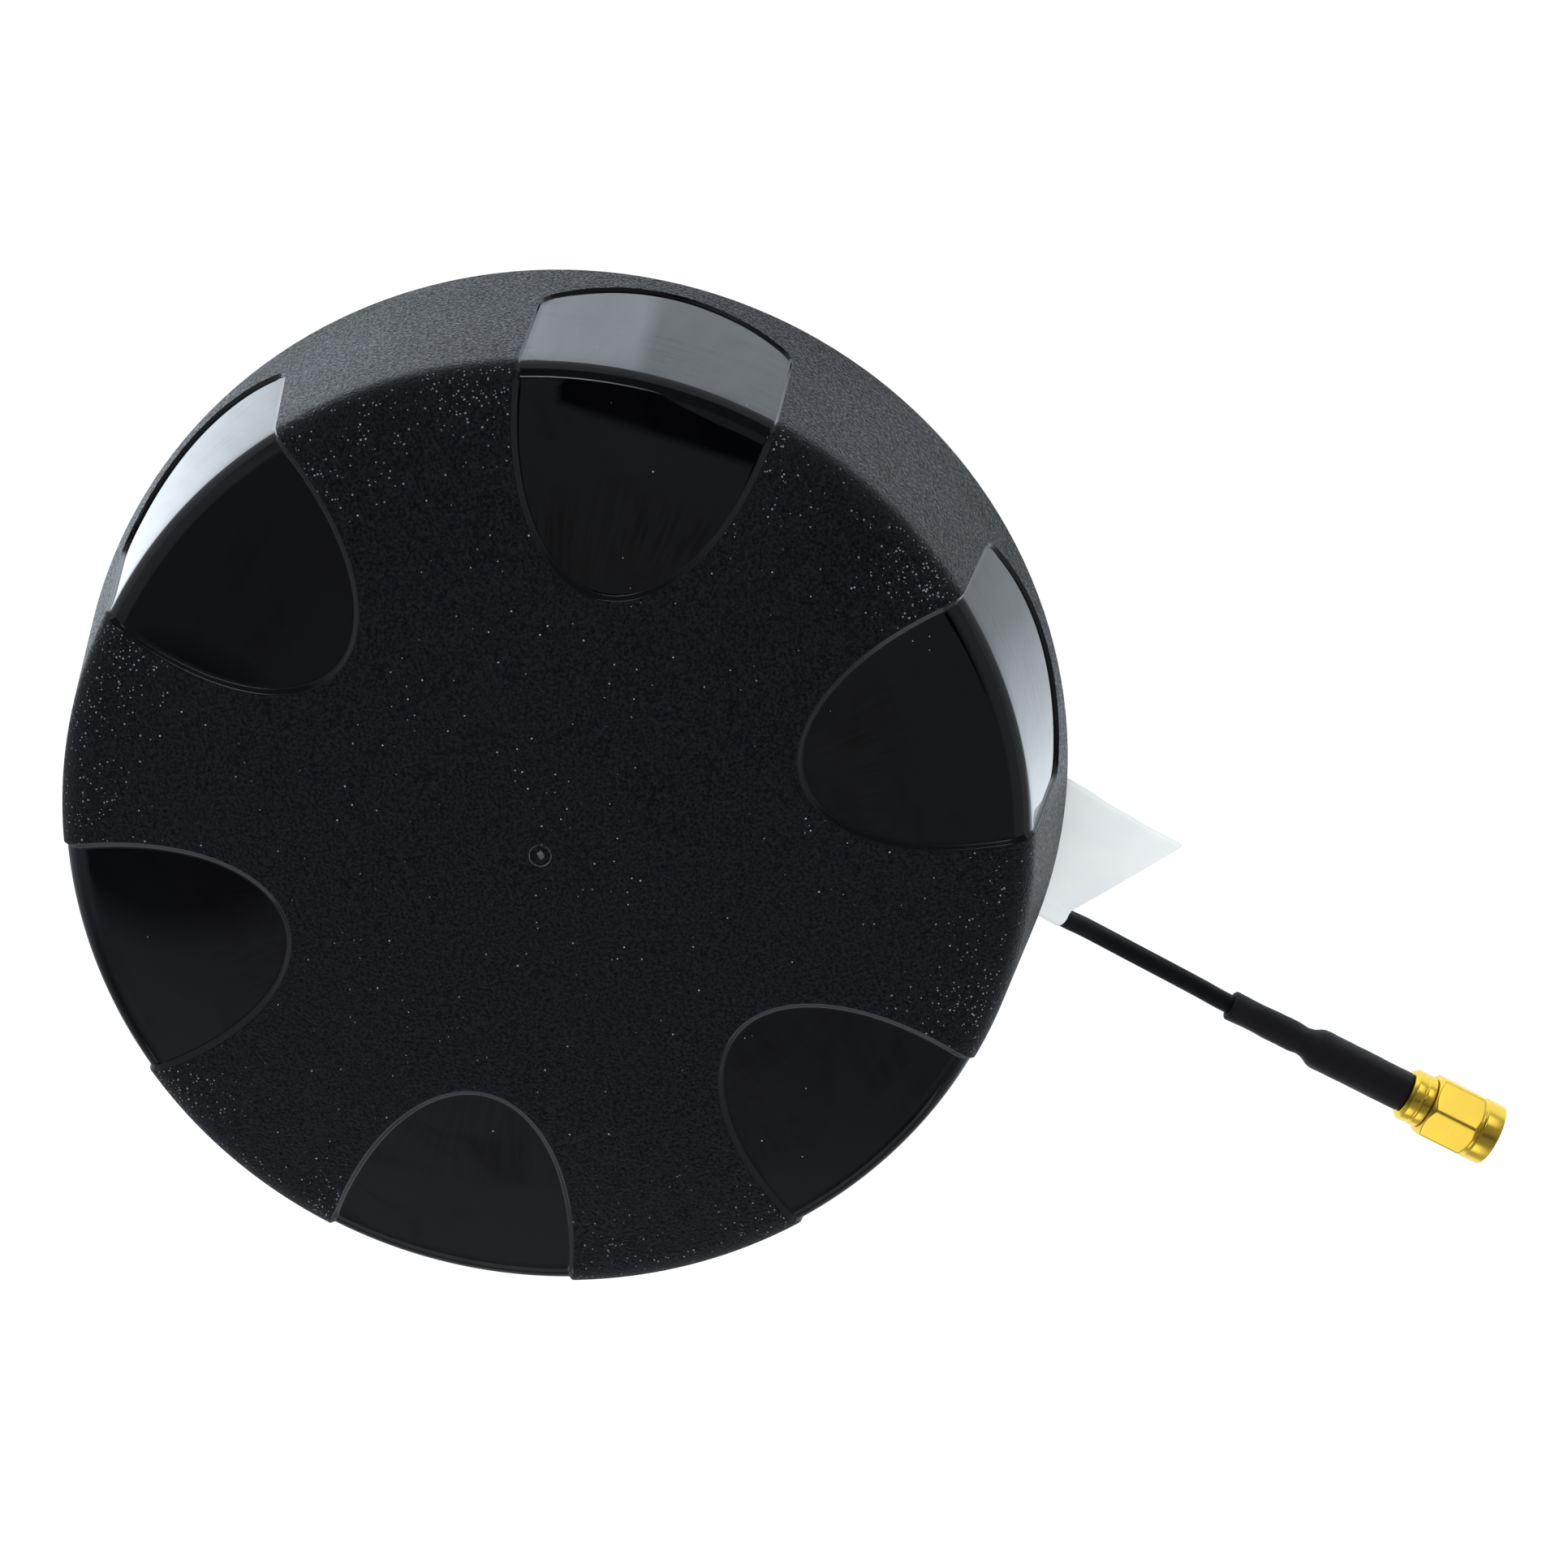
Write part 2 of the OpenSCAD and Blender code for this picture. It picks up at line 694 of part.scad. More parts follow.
module plug_ring() {
    color([0.8, 0.62, 0.22]) along(plug_at, plug_dir)
        collar(2 * snap_r, 2 * snap_seat_r + 2 * touch, snap_l, snap_z);
}

module plug_gasket() {
    color([0.7, 0.25, 0.15]) along(plug_at, plug_dir)
        collar(nut_thread_d - 0.2, barrel_d + 2 * touch, gasket_l, thread_z + 0.1);
}

module plug_nut() {
    hex_r = nut_af / 2 / cos(30);
    chamfer = hex_r - nut_af / 2;
    color([0.85, 0.68, 0.25]) along(plug_at, plug_dir) difference() {
        union() {
            intersection() {
                rotate([0, 0, nut_turn]) translate([0, 0, coupling_z]) cylinder(r = hex_r, h = hex_l, $fn = 6);
                translate([0, 0, coupling_z]) rotate_extrude() polygon([[0, 0], [hex_r - chamfer, 0],
                    [hex_r, chamfer / 2], [hex_r, hex_l - chamfer / 2], [hex_r - chamfer, hex_l], [0, hex_l]]);
            }
            drum(ring_d, ring_l + eps, nut_front - ring_l - eps);
        }
        drum(2 * nut_bore_r, nut_front + 2, -1);
        drum(nut_thread_d, nut_thread_l + 1, thread_z);
        drum(2 * snap_r + 0.2, snap_l + 0.4, snap_z - 0.2);
    }
}

radome();
radome_seal();
base_plate();
base_screws();
vent_plug();
rating_plate();
mount_boss();
thread_insert();
boss_seal();
boss_screws();
board_standoffs();
main_board();
board_screws();
shield_can();
filter_chips();
board_jack();
lower_patch();
lower_plate();
upper_patch();
upper_plate();
feed_pins();
foam_pad();
gland_body();
gland_cap();
gland_boot();
coax_tail();
coax_cable();
flag_label();
cable_sleeve();
crimp_ferrule();
plug_body();
plug_insulator();
plug_pin();
plug_ring();
plug_gasket();
plug_nut();
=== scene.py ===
import bisect
from math import asin, atan2, cos, exp, hypot, log, pi, radians, sin, sqrt

import bmesh
import bpy
from mathutils import Matrix, Vector, noise
from mathutils.bvhtree import BVHTree


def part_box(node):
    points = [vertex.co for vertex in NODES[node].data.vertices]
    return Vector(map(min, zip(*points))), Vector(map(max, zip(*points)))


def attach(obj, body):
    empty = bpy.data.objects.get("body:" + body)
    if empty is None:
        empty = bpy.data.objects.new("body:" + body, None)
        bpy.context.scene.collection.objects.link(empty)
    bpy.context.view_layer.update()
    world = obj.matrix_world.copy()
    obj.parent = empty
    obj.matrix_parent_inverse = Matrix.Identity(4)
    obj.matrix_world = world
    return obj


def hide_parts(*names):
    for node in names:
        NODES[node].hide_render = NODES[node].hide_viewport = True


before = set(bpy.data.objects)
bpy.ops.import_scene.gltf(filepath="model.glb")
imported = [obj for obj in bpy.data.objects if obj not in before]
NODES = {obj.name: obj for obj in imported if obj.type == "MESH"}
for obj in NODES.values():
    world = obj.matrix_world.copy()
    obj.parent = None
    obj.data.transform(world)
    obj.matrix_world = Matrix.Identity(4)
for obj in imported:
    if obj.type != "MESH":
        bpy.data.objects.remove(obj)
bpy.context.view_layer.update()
MM = 0.001

# ------------ image points
# The photograph's frame, scaled down to a long side of 1568
W, H = 1568, 1568
LONG = max(W, H)
POINTS = {
    "object_left_x": (60.1, None),
    "object_right_x": (1068.1, None),
    "object_top_y": (None, 270.3),
    "object_bottom_y": (None, 1282.3),
    "gate_mark": (541.1, 855.0),
    "window_330_shoulder_left": (516.7, 369.7),
    "window_330_shoulder_right": (773.4, 431.6),
    "window_270_shoulder_top": (956.8, 601.8),
    "window_270_shoulder_bottom": (1027.4, 837.9),
    "window_210_shoulder_right": (967.5, 1058.9),
    "window_150_shoulder_right": (570.5, 1278.5),
    "window_90_shoulder_top": (68.7, 845.6),
    "window_30_shoulder_left": (110.6, 619.0),
    "window_330_tip": (599.0, 598.6),
    "window_150_tip": (486.0, 1094.8),
    "label_tip": (1181.7, 846.8),
    "cable_out_of_label": (1066.5, 918.6),
    "sleeve_start": (1230.4, 1004.8),
    "plug_start": (1404.7, 1092.1),
    "plug_end": (1490.9, 1135.4),
}

# The camera, settled by those points; lengths in mm
CAMERA_AT = (131.783, -91.801, 483.117)
CAMERA_AIM = (-19.143, -19.545, 0.0)
CAMERA_ROLL = -170.743
LENS = 91.114
SENSOR = 36.0
SHIFT_X, SHIFT_Y = 0.0, 0.0

# ------------ sizes, in mm and degrees, as in the source
# NUT_TURN alone is the scene's own: at rest a corner of the hexagon faces the camera
RIM_R, RIM_DROP = 60.0, 2.0
SHOULDER_R, SHOULDER_RISE, CROWN_RISE, ROUND_R = 55.6, 30.4, 4.2, 3.5
WALL_T, LIP_R, LIP_UP = 3.0, 56.8, 2.0
GATE_R, GATE_IN, GATE_DEPTH = 1.3, 0.65, 0.15
WINDOWS, WINDOW_AZ = 6, 30.0
HALF_W, DEPTH, TONGUE_L, TONGUE_BASE = 14.85, 0.55, 27.4, 58.2
FOOT_Z, FOOT_BOW, FOOT_ROUND = 3.6, 23.0, 4.0
RING_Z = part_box("radome")[0].z / MM + RIM_DROP
# Where a window's edge crosses the middle of the shoulder's rounding: outwards, and to the side
CORNER_OUT, CORNER_SIDE = 53.7, 0.9866 * HALF_W

# The cable's route, in metres, as in the source
ROUTE = [
    (-0.0167, -0.0267, 0.0205), (-0.0183, -0.0293, 0.0205), (-0.0197, -0.0315, 0.0203),
    (-0.0217, -0.0340, 0.0197), (-0.0244, -0.0364, 0.0184), (-0.0277, -0.0387, 0.0166),
    (-0.0355, -0.0442, 0.0123), (-0.0433, -0.0497, 0.0080), (-0.0459, -0.0519, 0.0068),
    (-0.0484, -0.0540, 0.0059), (-0.0520, -0.0573, 0.0053), (-0.0555, -0.0607, 0.0051),
    (-0.0590, -0.0641, 0.0050), (-0.0621, -0.0671, 0.0050), (-0.0711, -0.0764, 0.0049),
    (-0.0801, -0.0857, 0.0048),
]
LABEL_FIRST, LABEL_LAST, SLEEVE_FIRST = 5, 7, 13
CABLE_D = 2.5
FLAG_L, FLAG_W, FLAG_T, FLAG_LEAN = 20.8, 21.3, 0.3, 26.0
THIN_R, THICK_R, THICK_L = 2.0, 2.65, 14.4
NUT_AF, NUT_TURN, HEX_L, RING_R, RING_L = 8.0, 15.0, 6.8, 4.15, 2.8
NUT_THREAD_R, NUT_THREAD_L, NUT_BORE_R = 3.2, 5.6, 2.5
COLLAR_R, COLLAR_L, BARREL_R, NUT_GAP = 3.5, 3.0, 2.42, 0.15
BOSS_R, BOSS_H, INSERT_R, THREAD_R, THREAD_L = 22.0, 27.5, 11.5, 7.94, 14.0
CHAMBER_R, CHAMBER_Z = 8.0, 16.0
NUT_FRONT = COLLAR_L + NUT_GAP + HEX_L + RING_L


# ------------ camera and placing
def mm(point):
    """A point given in millimetres, in metres."""
    return Vector(point) * MM


def add_object(name, data):
    """A new object with this data, in the scene."""
    made = bpy.data.objects.new(name, data)
    bpy.context.scene.collection.objects.link(made)
    return made


def make_camera():
    """The photograph's camera."""
    data = bpy.data.cameras.new("camera")
    data.lens = LENS
    data.sensor_width = SENSOR
    data.sensor_fit = "AUTO"
    data.shift_x, data.shift_y = SHIFT_X, SHIFT_Y
    data.clip_start, data.clip_end = 0.02, 20.0
    camera = add_object("camera", data)
    back = (mm(CAMERA_AT) - mm(CAMERA_AIM)).normalized()
    level = Vector((0, 0, 1)).cross(back).normalized()
    right = Matrix.Rotation(radians(CAMERA_ROLL), 3, back) @ level
    turn = Matrix((right, back.cross(right), back)).transposed()
    camera.matrix_world = Matrix.Translation(mm(CAMERA_AT)) @ turn.to_4x4()
    bpy.context.scene.camera = camera
    bpy.context.view_layer.update()
    return camera


def seen_ray(x, y):
    """The camera's place and the direction in which it sees an image point."""
    local = Vector((x - W / 2 + SHIFT_X * LONG, H / 2 - y + SHIFT_Y * LONG, -LONG * LENS / SENSOR))
    turn = camera.matrix_world.to_3x3()
    return camera.matrix_world.translation, (turn @ local).normalized()


def place(point, carrier):
    """Where the ray through an image point meets its carrier, or the carrier's nearest place."""
    start, way = seen_ray(*point)
    hit = carrier.ray_cast(start, way)[0]
    if hit is None:
        reach = (mm(CAMERA_AIM) - start).length
        hit = carrier.find_nearest(start + way * reach)[0]
    return hit


# ------------ mesh helpers
def new_piece(name, vertices, faces, stands_for=None, kinds=None, body="antenna"):
    """A smooth piece in mm, cleaned and turned outwards, in the place of a CAD node if it stands for
    one; kinds gives a material index for each face."""
    mesh = bpy.data.meshes.new(name)
    mesh.from_pydata([mm(v) for v in vertices], [], faces)
    if kinds:
        mesh.polygons.foreach_set("material_index", kinds)
    bm = bmesh.new()
    bm.from_mesh(mesh)
    bmesh.ops.remove_doubles(bm, verts=bm.verts, dist=2e-6)
    bmesh.ops.recalc_face_normals(bm, faces=bm.faces)
    bm.to_mesh(mesh)
    bm.free()
    mesh.shade_smooth()
    piece = add_object(name, mesh)
    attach(piece, body)
    if stands_for:
        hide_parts(stands_for)
    return piece


def dress(piece, slot, *names):
    """Give a piece its slot and its materials, which are the slot's own if none are named."""
    for name in names or (slot,):
        piece.data.materials.append(materials[name])


def grid_faces(rows, columns, start=0):
    """Quads between closed rings of points that lie one after another."""
    faces = []
    for i in range(rows - 1):
        a, b = start + i * columns, start + (i + 1) * columns
        for k in range(columns):
            n = (k + 1) % columns
            faces.append((a + k, a + n, b + n, b + k))
    return faces


def along(at, way):
    """A frame whose z runs along way, whose x is level and whose y looks up, as in the source."""
    z = Vector(way).normalized()
    x = Vector((0, 0, 1)).cross(z).normalized()
    turn = Matrix((x, z.cross(x), z)).transposed()
    return Matrix.Translation(Vector(at)) @ turn.to_4x4()


def lathe(name, stands_for, profile, at=None, sides=96, body="antenna", reach=None):
    """A piece turned round the local z axis from a closed profile of (radius, height), in mm.
    reach(angle, radius, height) may give another radius, for flats and threads."""
    at = at or Matrix.Identity(4)
    vertices = []
    for r, z in profile:
        for k in range(sides):
            a = 2 * pi * k / sides
            q = reach(a, r, z) if reach else r
            vertices.append(at @ Vector((q * cos(a), q * sin(a), z)))
    rows = len(profile)
    faces = grid_faces(rows, sides)
    for k in range(sides):
        n = (k + 1) % sides
        faces.append(((rows - 1) * sides + k, (rows - 1) * sides + n, n, k))
    return new_piece(name, vertices, faces, stands_for, body=body)


def eased(points, radius, steps=4):
    """A closed profile of (r, z) with its corners rounded; a corner on the axis stays."""
    done = []
    count = len(points)
    for i, p in enumerate(points):
        before, here, after = Vector(points[i - 1]), Vector(p), Vector(points[(i + 1) % count])
        if here.x < 1e-6:
            done.append(tuple(here))
            continue
        cut = min(radius, (before - here).length * 0.45, (after - here).length * 0.45)
        a = here + (before - here).normalized() * cut
        b = here + (after - here).normalized() * cut
        for k in range(steps + 1):
            t = k / steps
            done.append(tuple((1 - t) ** 2 * a + 2 * t * (1 - t) * here + t * t * b))
    return done


def smooth_route(points, per_span):
    """Points on a Catmull-Rom curve through the route."""
    done = []
    for i in range(len(points) - 1):
        p = [Vector(points[min(max(i + k, 0), len(points) - 1)]) for k in (-1, 0, 1, 2)]
        for k in range(per_span):
            t = k / per_span
            done.append(0.5 * (2 * p[1] + (p[2] - p[0]) * t
                               + (2 * p[0] - 5 * p[1] + 4 * p[2] - p[3]) * t * t
                               + (3 * p[1] - p[0] - 3 * p[2] + p[3]) * t ** 3))
    return done + [Vector(points[-1])]


def stations(length, near, start, count):
    """Places along a length: near its end, evenly from the start of the middle, and mirrored."""
    middle = [start + (length - 2 * start) * k / count for k in range(count + 1)]
    return near + middle + [length - s for s in near[::-1]]


def heading(line, i):
    """The direction of a line of points at one of them."""
    return Vector(line[min(i + 1, len(line) - 1)]) - Vector(line[max(i - 1, 0)])


# ------------ cable and what is on it
def make_cable():
    """The coax cable along its route, and the line through its middle."""
    sides, line = 20, smooth_route(ROUTE, 6)
    vertices = []
    for i, p in enumerate(line):
        at = along(p / MM, heading(line, i))
        for k in range(sides):
            a = 2 * pi * k / sides
            vertices.append(at @ Vector((CABLE_D / 2 * cos(a), CABLE_D / 2 * sin(a), 0)))
    faces = grid_faces(len(line), sides)
    faces += [tuple(range(sides)), tuple(len(vertices) - 1 - k for k in range(sides))]
    return new_piece("cable", vertices, faces, "coax_cable"), line


def flag_line():
    """The middle of the film, from the upper layer's tip round the cable to the lower layer's tip."""
    gap, clear, fillet, shorter = 0.02, 0.01, 1.2, 0.3
    layer = FLAG_T / 2 - gap
    off, round_r = gap + layer / 2, CABLE_D / 2 + layer / 2 + clear
    reach = sqrt((round_r + fillet) ** 2 - (off + fillet) ** 2)
    turn = atan2(off + fillet, reach)
    line = [(FLAG_W + (reach - FLAG_W) * k / 24, off) for k in range(24)]
    for k in range(9):
        a = -pi / 2 - (pi / 2 - turn) * k / 8
        line.append((reach + fillet * cos(a), off + fillet + fillet * sin(a)))
    for k in range(1, 29):
        a = turn + (pi - turn) * k / 28
        line.append((round_r * cos(a), round_r * sin(a)))
    mirrored = [(x, -y) for x, y in line[-2::-1]]
    mirrored[-1] = (mirrored[-1][0] - shorter, mirrored[-1][1])
    return line + mirrored, layer


def make_label():
    """A film flag: one strip stuck to itself round the cable, its two layers parting a little at the tip."""
    line, layer = flag_line()
    first, last = Vector(ROUTE[LABEL_FIRST]) / MM, Vector(ROUTE[LABEL_LAST]) / MM
    run = (last - first).length
    at = along(first, last - first) @ Matrix.Rotation(radians(FLAG_LEAN), 4, "Z")
    loop = []
    for side in (1, -1):
        ring = []
        for i, p in enumerate(line):
            way = heading(line, i)
            across = Vector((-way.y, way.x)).normalized()
            ring.append(Vector(p) + across * side * layer / 2)
        loop += ring if side == 1 else ring[::-1]
    stops = stations(FLAG_L, [0, 0.08, 0.3, 0.8, 1.8], 2.6, 14)
    corner_r, stiff = 0.55, 3
    vertices = []
    for s in stops:
        z = run - FLAG_L + s
        past = max(0.0, corner_r - min(s, FLAG_L - s))
        drawn = corner_r - sqrt(max(0.0, corner_r ** 2 - past ** 2))
        for x, y in loop:
            # Past its stiff root the flag curls and waves more and more, and its layers part at the tip
            tip = max(0.0, (x - stiff) / (FLAG_W - stiff))
            curl = 0.35 * tip ** 2 * sin(pi * s / FLAG_L) - 0.25 * tip ** 3
            wave = 0.05 * tip * sin(s * 0.9 + x * 0.35)
            part = 0.05 * max(0.0, tip - 0.9) * (1 if y > 0 else -1)
            vertices.append(at @ Vector((x - drawn * tip ** 8, y + curl + wave + part, z)))
    count = len(loop)
    faces = grid_faces(len(stops), count)
    half, top = count // 2, (len(stops) - 1) * count
    for k in range(half - 1):
        faces.append((k, k + 1, count - 2 - k, count - 1 - k))
        faces.append((top + k + 1, top + k, top + count - 1 - k, top + count - 2 - k))
    return new_piece("flag_film", vertices, faces, "flag_label")


def sleeve_radius(s, total):
    """The shrink sleeve's outside: cut end, waist on the cable, step up on to the ferrule, turned-in end."""
    step = total - THICK_L
    rise = 1 / (1 + exp(-(s - step - 0.6) / 0.28))
    radius = THIN_R + (THICK_R - THIN_R) * rise
    # a waist on the cable, one before the step and a swell after it
    radius -= 0.10 * exp(-((s - 3.4) / 2.2) ** 2)
    radius -= 0.12 * exp(-((s - step + 0.9) / 0.8) ** 2)
    radius += 0.05 * exp(-((s - step - 2.1) / 0.7) ** 2)
    turned_in, over = 0.22, 0.3
    return radius - turned_in * max(0.0, 1 - min(s, total - s) / over) ** 2


def make_sleeve():
    """The shrink sleeve, a little uneven and with a faint seam."""
    first, last = Vector(ROUTE[SLEEVE_FIRST]) / MM, Vector(ROUTE[-1]) / MM
    total = (last - first).length
    at = along(first, last - first)
    clear, seam_at = 0.05, 3.9
    inner = CABLE_D / 2 + clear
    stops = stations(total, [0, 0.04, 0.1, 0.2, 0.32], 0.6, 88)
    profile = [(sleeve_radius(s, total), s) for s in stops] + [(inner, total), (inner, 0)]

    def shrunk(angle, radius, height):
        if radius <= inner:
            return radius
        where = Vector((cos(angle) * 1.6, sin(angle) * 1.6, height * 0.45))
        seam = 0.03 * exp(-((angle - seam_at) / 0.12) ** 2)
        return radius + 0.05 * noise.noise(where) + 0.02 * noise.noise(where * 3.1) + seam

    return lathe("shrink_sleeve", "cable_sleeve", profile, at, sides=72, reach=shrunk)


def hexagon(angle, apothem, corner=0.05):
    """The radius of a hexagon with slightly rounded corners, its corners at NUT_TURN + 60 k degrees."""
    a = (angle - radians(NUT_TURN)) % (pi / 3) - pi / 6
    flat = apothem / cos(a)
    sharp = apothem / cos(pi / 6)
    soft = corner * 0.5
    return -soft * log(exp(-flat / soft) + exp(-(sharp - corner) / soft))


def thread_depth(angle, z, pitch, low, high, run, sharpness):
    """How deep a right-hand thread is cut, 0 to 1, between low and high, where it runs out."""
    turn = (z / pitch + angle / (2 * pi)) % 1
    fade = min(1.0, (z - low) / run, (high - z) / run)
    return fade * (1 - abs(2 * turn - 1)) ** sharpness


def make_nut(at):
    """The coupling nut: chamfered hexagon, round front and a threaded mouth."""
    low, front = COLLAR_L + NUT_GAP, NUT_FRONT
    top, bottom = low + HEX_L, front - NUT_THREAD_L
    pitch, cut_in, cone = 0.706, 0.33, 0.75

    def chamfer(z):
        """The chamfers' radius, which grows by 1 mm over each cone of height from either end."""
        return NUT_AF / 2 - 0.15 + min(z - low, top - z) / cone

    levels = [low + cone * k / 8 for k in range(9)] + [low + 1.2 + (HEX_L - 2.4) * k / 6 for k in range(7)]
    levels += [top - cone * k / 8 for k in range(8, -1, -1)]
    # negative radii stand for the hexagon, which shape works out
    outside = [(-1.0 - i, z) for i, z in enumerate(levels)]
    front_ring = eased([(RING_R - 0.25, top + 0.02), (RING_R - 0.25, top + 0.2), (RING_R, top + 0.45),
                        (RING_R, front), (NUT_THREAD_R + 0.1, front), (NUT_THREAD_R, front - 0.3)], 0.14)
    # the first point only gives the second one its direction, so its arc goes
    front_ring = front_ring[5:]
    turns = int(NUT_THREAD_L / pitch * 8)
    thread = [(NUT_THREAD_R, front - 0.35 - (NUT_THREAD_L - 0.5) * k / turns) for k in range(turns + 1)]
    profile = outside + front_ring + thread
    profile += [(NUT_THREAD_R, bottom), (NUT_BORE_R, bottom), (NUT_BORE_R, low)]

    def shape(angle, radius, z):
        if radius < 0:
            return min(hexagon(angle, NUT_AF / 2), chamfer(z))
        if radius == NUT_THREAD_R and bottom + 0.1 < z < front - 0.32:
            return radius - cut_in * thread_depth(angle, z, pitch, bottom, front - 0.3, 0.6, 0.8)
        return radius

    return lathe("coupling_nut", "plug_nut", profile, at, sides=120, body="coupling", reach=shape)


def make_plug_body(at):
    """The rear collar with its turned groove, and the barrel inside the nut."""
    set_back, bore_r, tail_r = 2.6, 2.1, 1.35
    front = NUT_FRONT - set_back
    outside = [(tail_r, 0), (3.05, 0), (COLLAR_R, 0.5), (COLLAR_R, 1.5), (COLLAR_R - 0.16, 1.62),
               (COLLAR_R - 0.16, 1.85), (COLLAR_R, 1.97), (COLLAR_R, COLLAR_L), (BARREL_R, COLLAR_L),
               (BARREL_R, front), (bore_r, front), (bore_r, 1.45), (tail_r, 1.45)]
    return lathe("plug_shell", "plug_body", eased(outside, 0.1), at)


# ------------ radome
def dome_sizes():
    """The wall's draft, the crown's radius and centre, and the shoulder rounding's centre and end."""
    draft = atan2(RIM_R - SHOULDER_R, SHOULDER_RISE)
    crown_r = (SHOULDER_R ** 2 + CROWN_RISE ** 2) / (2 * CROWN_RISE)
    centre = Vector((0, SHOULDER_RISE + CROWN_RISE - crown_r))
    up, inward = Vector((-sin(draft), cos(draft))), Vector((-cos(draft), -sin(draft)))
    start = Vector((RIM_R, 0)) + ROUND_R * inward - centre
    slide = -start.dot(up) + sqrt(start.dot(up) ** 2 - start.dot(start) + (crown_r - ROUND_R) ** 2)
    corner = centre + start + slide * up
    end = atan2(corner.y - centre.y, corner.x)
    return draft, crown_r, centre, corner, end


DRAFT, CROWN_R, CROWN_C, ROUND_C, ROUND_END = dome_sizes()
S_CROWN = CROWN_R * (pi / 2 - ROUND_END)
S_ROUND = S_CROWN + ROUND_R * (ROUND_END - DRAFT)
S_MID = (S_CROWN + S_ROUND) / 2
S_FOOT = S_ROUND + (ROUND_C.y + ROUND_R * sin(DRAFT)) / cos(DRAFT)
S_IN = 18.0


def skin(s, depth=0.0):
    """Radius and height above the ring plane, s along the skin from the crown's middle, depth under it."""
    if s <= S_CROWN:
        a, centre, r = pi / 2 - s / CROWN_R, CROWN_C, CROWN_R - depth
    elif s <= S_ROUND:
        a, centre, r = ROUND_END - (s - S_CROWN) / ROUND_R, ROUND_C, ROUND_R - depth
    else:
        a, centre, r = DRAFT, ROUND_C + (s - S_ROUND) * Vector((sin(DRAFT), -cos(DRAFT))), ROUND_R - depth
    return centre + r * Vector((cos(a), sin(a)))


def skin_where(value, axis):
    """The s at which the skin reaches a radius (axis 0) or a height (axis 1)."""
    low, high = 0.0, S_FOOT
    for _ in range(50):
        s = (low + high) / 2
        here = skin(s)[axis]
        if (here < value) == (axis == 0):
            low = s
        else:
            high = s
    return low


def half_outline():
    """The right half of a window's edge as two curves of (s, angle): shoulder to tip, shoulder to foot."""
    tongue, side = [], []
    for i in range(1201):
        a = pi / 2 * i / 1200
        x, u = TONGUE_BASE - TONGUE_L * cos(a), HALF_W * sin(a)
        r = hypot(x, u)
        if r < RIM_R:
            (tongue if r <= skin(S_MID)[0] else side).append((skin_where(r, 0), atan2(u, x)))
    bow_z = FOOT_Z + FOOT_BOW
    corner_u = HALF_W - FOOT_ROUND
    corner_z = bow_z - sqrt((FOOT_BOW - FOOT_ROUND) ** 2 - corner_u ** 2)
    turn = atan2(corner_z - bow_z, corner_u)
    side = [p for p in side if skin(p[0])[1] > corner_z]
    arcs = [(corner_u + FOOT_ROUND * cos(turn * i / 120), corner_z + FOOT_ROUND * sin(turn * i / 120))
            for i in range(121)]
    for i in range(1, 161):
        a = turn + (-pi / 2 - turn) * i / 160
        arcs.append((FOOT_BOW * cos(a), bow_z + FOOT_BOW * sin(a)))
    for u, z in arcs:
        s = skin_where(z, 1)
        side.append((s, asin(u / skin(s)[0])))
    edge = (S_MID, atan2(CORNER_SIDE, CORNER_OUT))
    return [edge] + tongue[::-1], [edge] + side, skin_where(corner_z, 1)


def resampled(curve, count, out_sign):
    """count + 1 points of a curve with their outward normals, closer together round the shoulder."""
    near_reach, crowding = 2.4, 2.2
    total = [0.0]
    for (s0, a0), (s1, a1) in zip(curve, curve[1:]):
        s = (s0 + s1) / 2
        step = hypot(s1 - s0, skin(s)[0] * (a1 - a0))
        near = exp(-((s - S_MID) / near_reach) ** 4)
        total.append(total[-1] + step * (1 + crowding * near))
    done = []
    for k in range(count + 1):
        want = total[-1] * k / count
        i = min(max(bisect.bisect_left(total, want), 1), len(curve) - 1)
        t = (want - total[i - 1]) / (total[i] - total[i - 1])
        (s0, a0), (s1, a1) = curve[i - 1], curve[i]
        s, a = s0 + (s1 - s0) * t, a0 + (a1 - a0) * t
        lo, hi = curve[max(i - 3, 0)], curve[min(i + 2, len(curve) - 1)]
        way = Vector((hi[0] - lo[0], skin(s)[0] * (hi[1] - lo[1]))).normalized()
        out = Vector((way.y, -way.x))
        if out.dot(Vector((s - S_MID, skin(s)[0] * a))) < 0:
            out = -out
        if k == 0:
            out = Vector((0, 1))
        if k == count:
            out = Vector((out_sign, 0))
        done.append((s, a, out))
    return done


# A window's step on the crown: (mm across its edge, share of its depth); on the wall it is narrower
STEP = [(-0.62, 1), (-0.5, 0.97), (-0.36, 0.8), (-0.2, 0.55),
        (-0.04, 0.3), (0.1, 0.08), (0.2, 0.02), (0.34, 0)]
NARROWER, SHALLOWER = 0.72, 0.35
# A ray's stations within the step and outside it, and where its ledge starts and ends
INNER, OUTER = 16, 12
LEDGE_START, LEDGE_END = INNER + 2, INNER + 7
# Places of the radome's materials
SKIN, POLISH, LEDGE, SCUFF = 0, 1, 2, 3


def on_wall(s):
    """0 on the crown, 1 on the wall."""
    t = min(1.0, max(0.0, (s - S_CROWN) / (S_ROUND + 1.5 - S_CROWN)))
    return t * t * (3 - 2 * t)


def deep(s):
    """A window is let in less deeply on the wall than on the crown."""
    return DEPTH * (1 - SHALLOWER * on_wall(s))


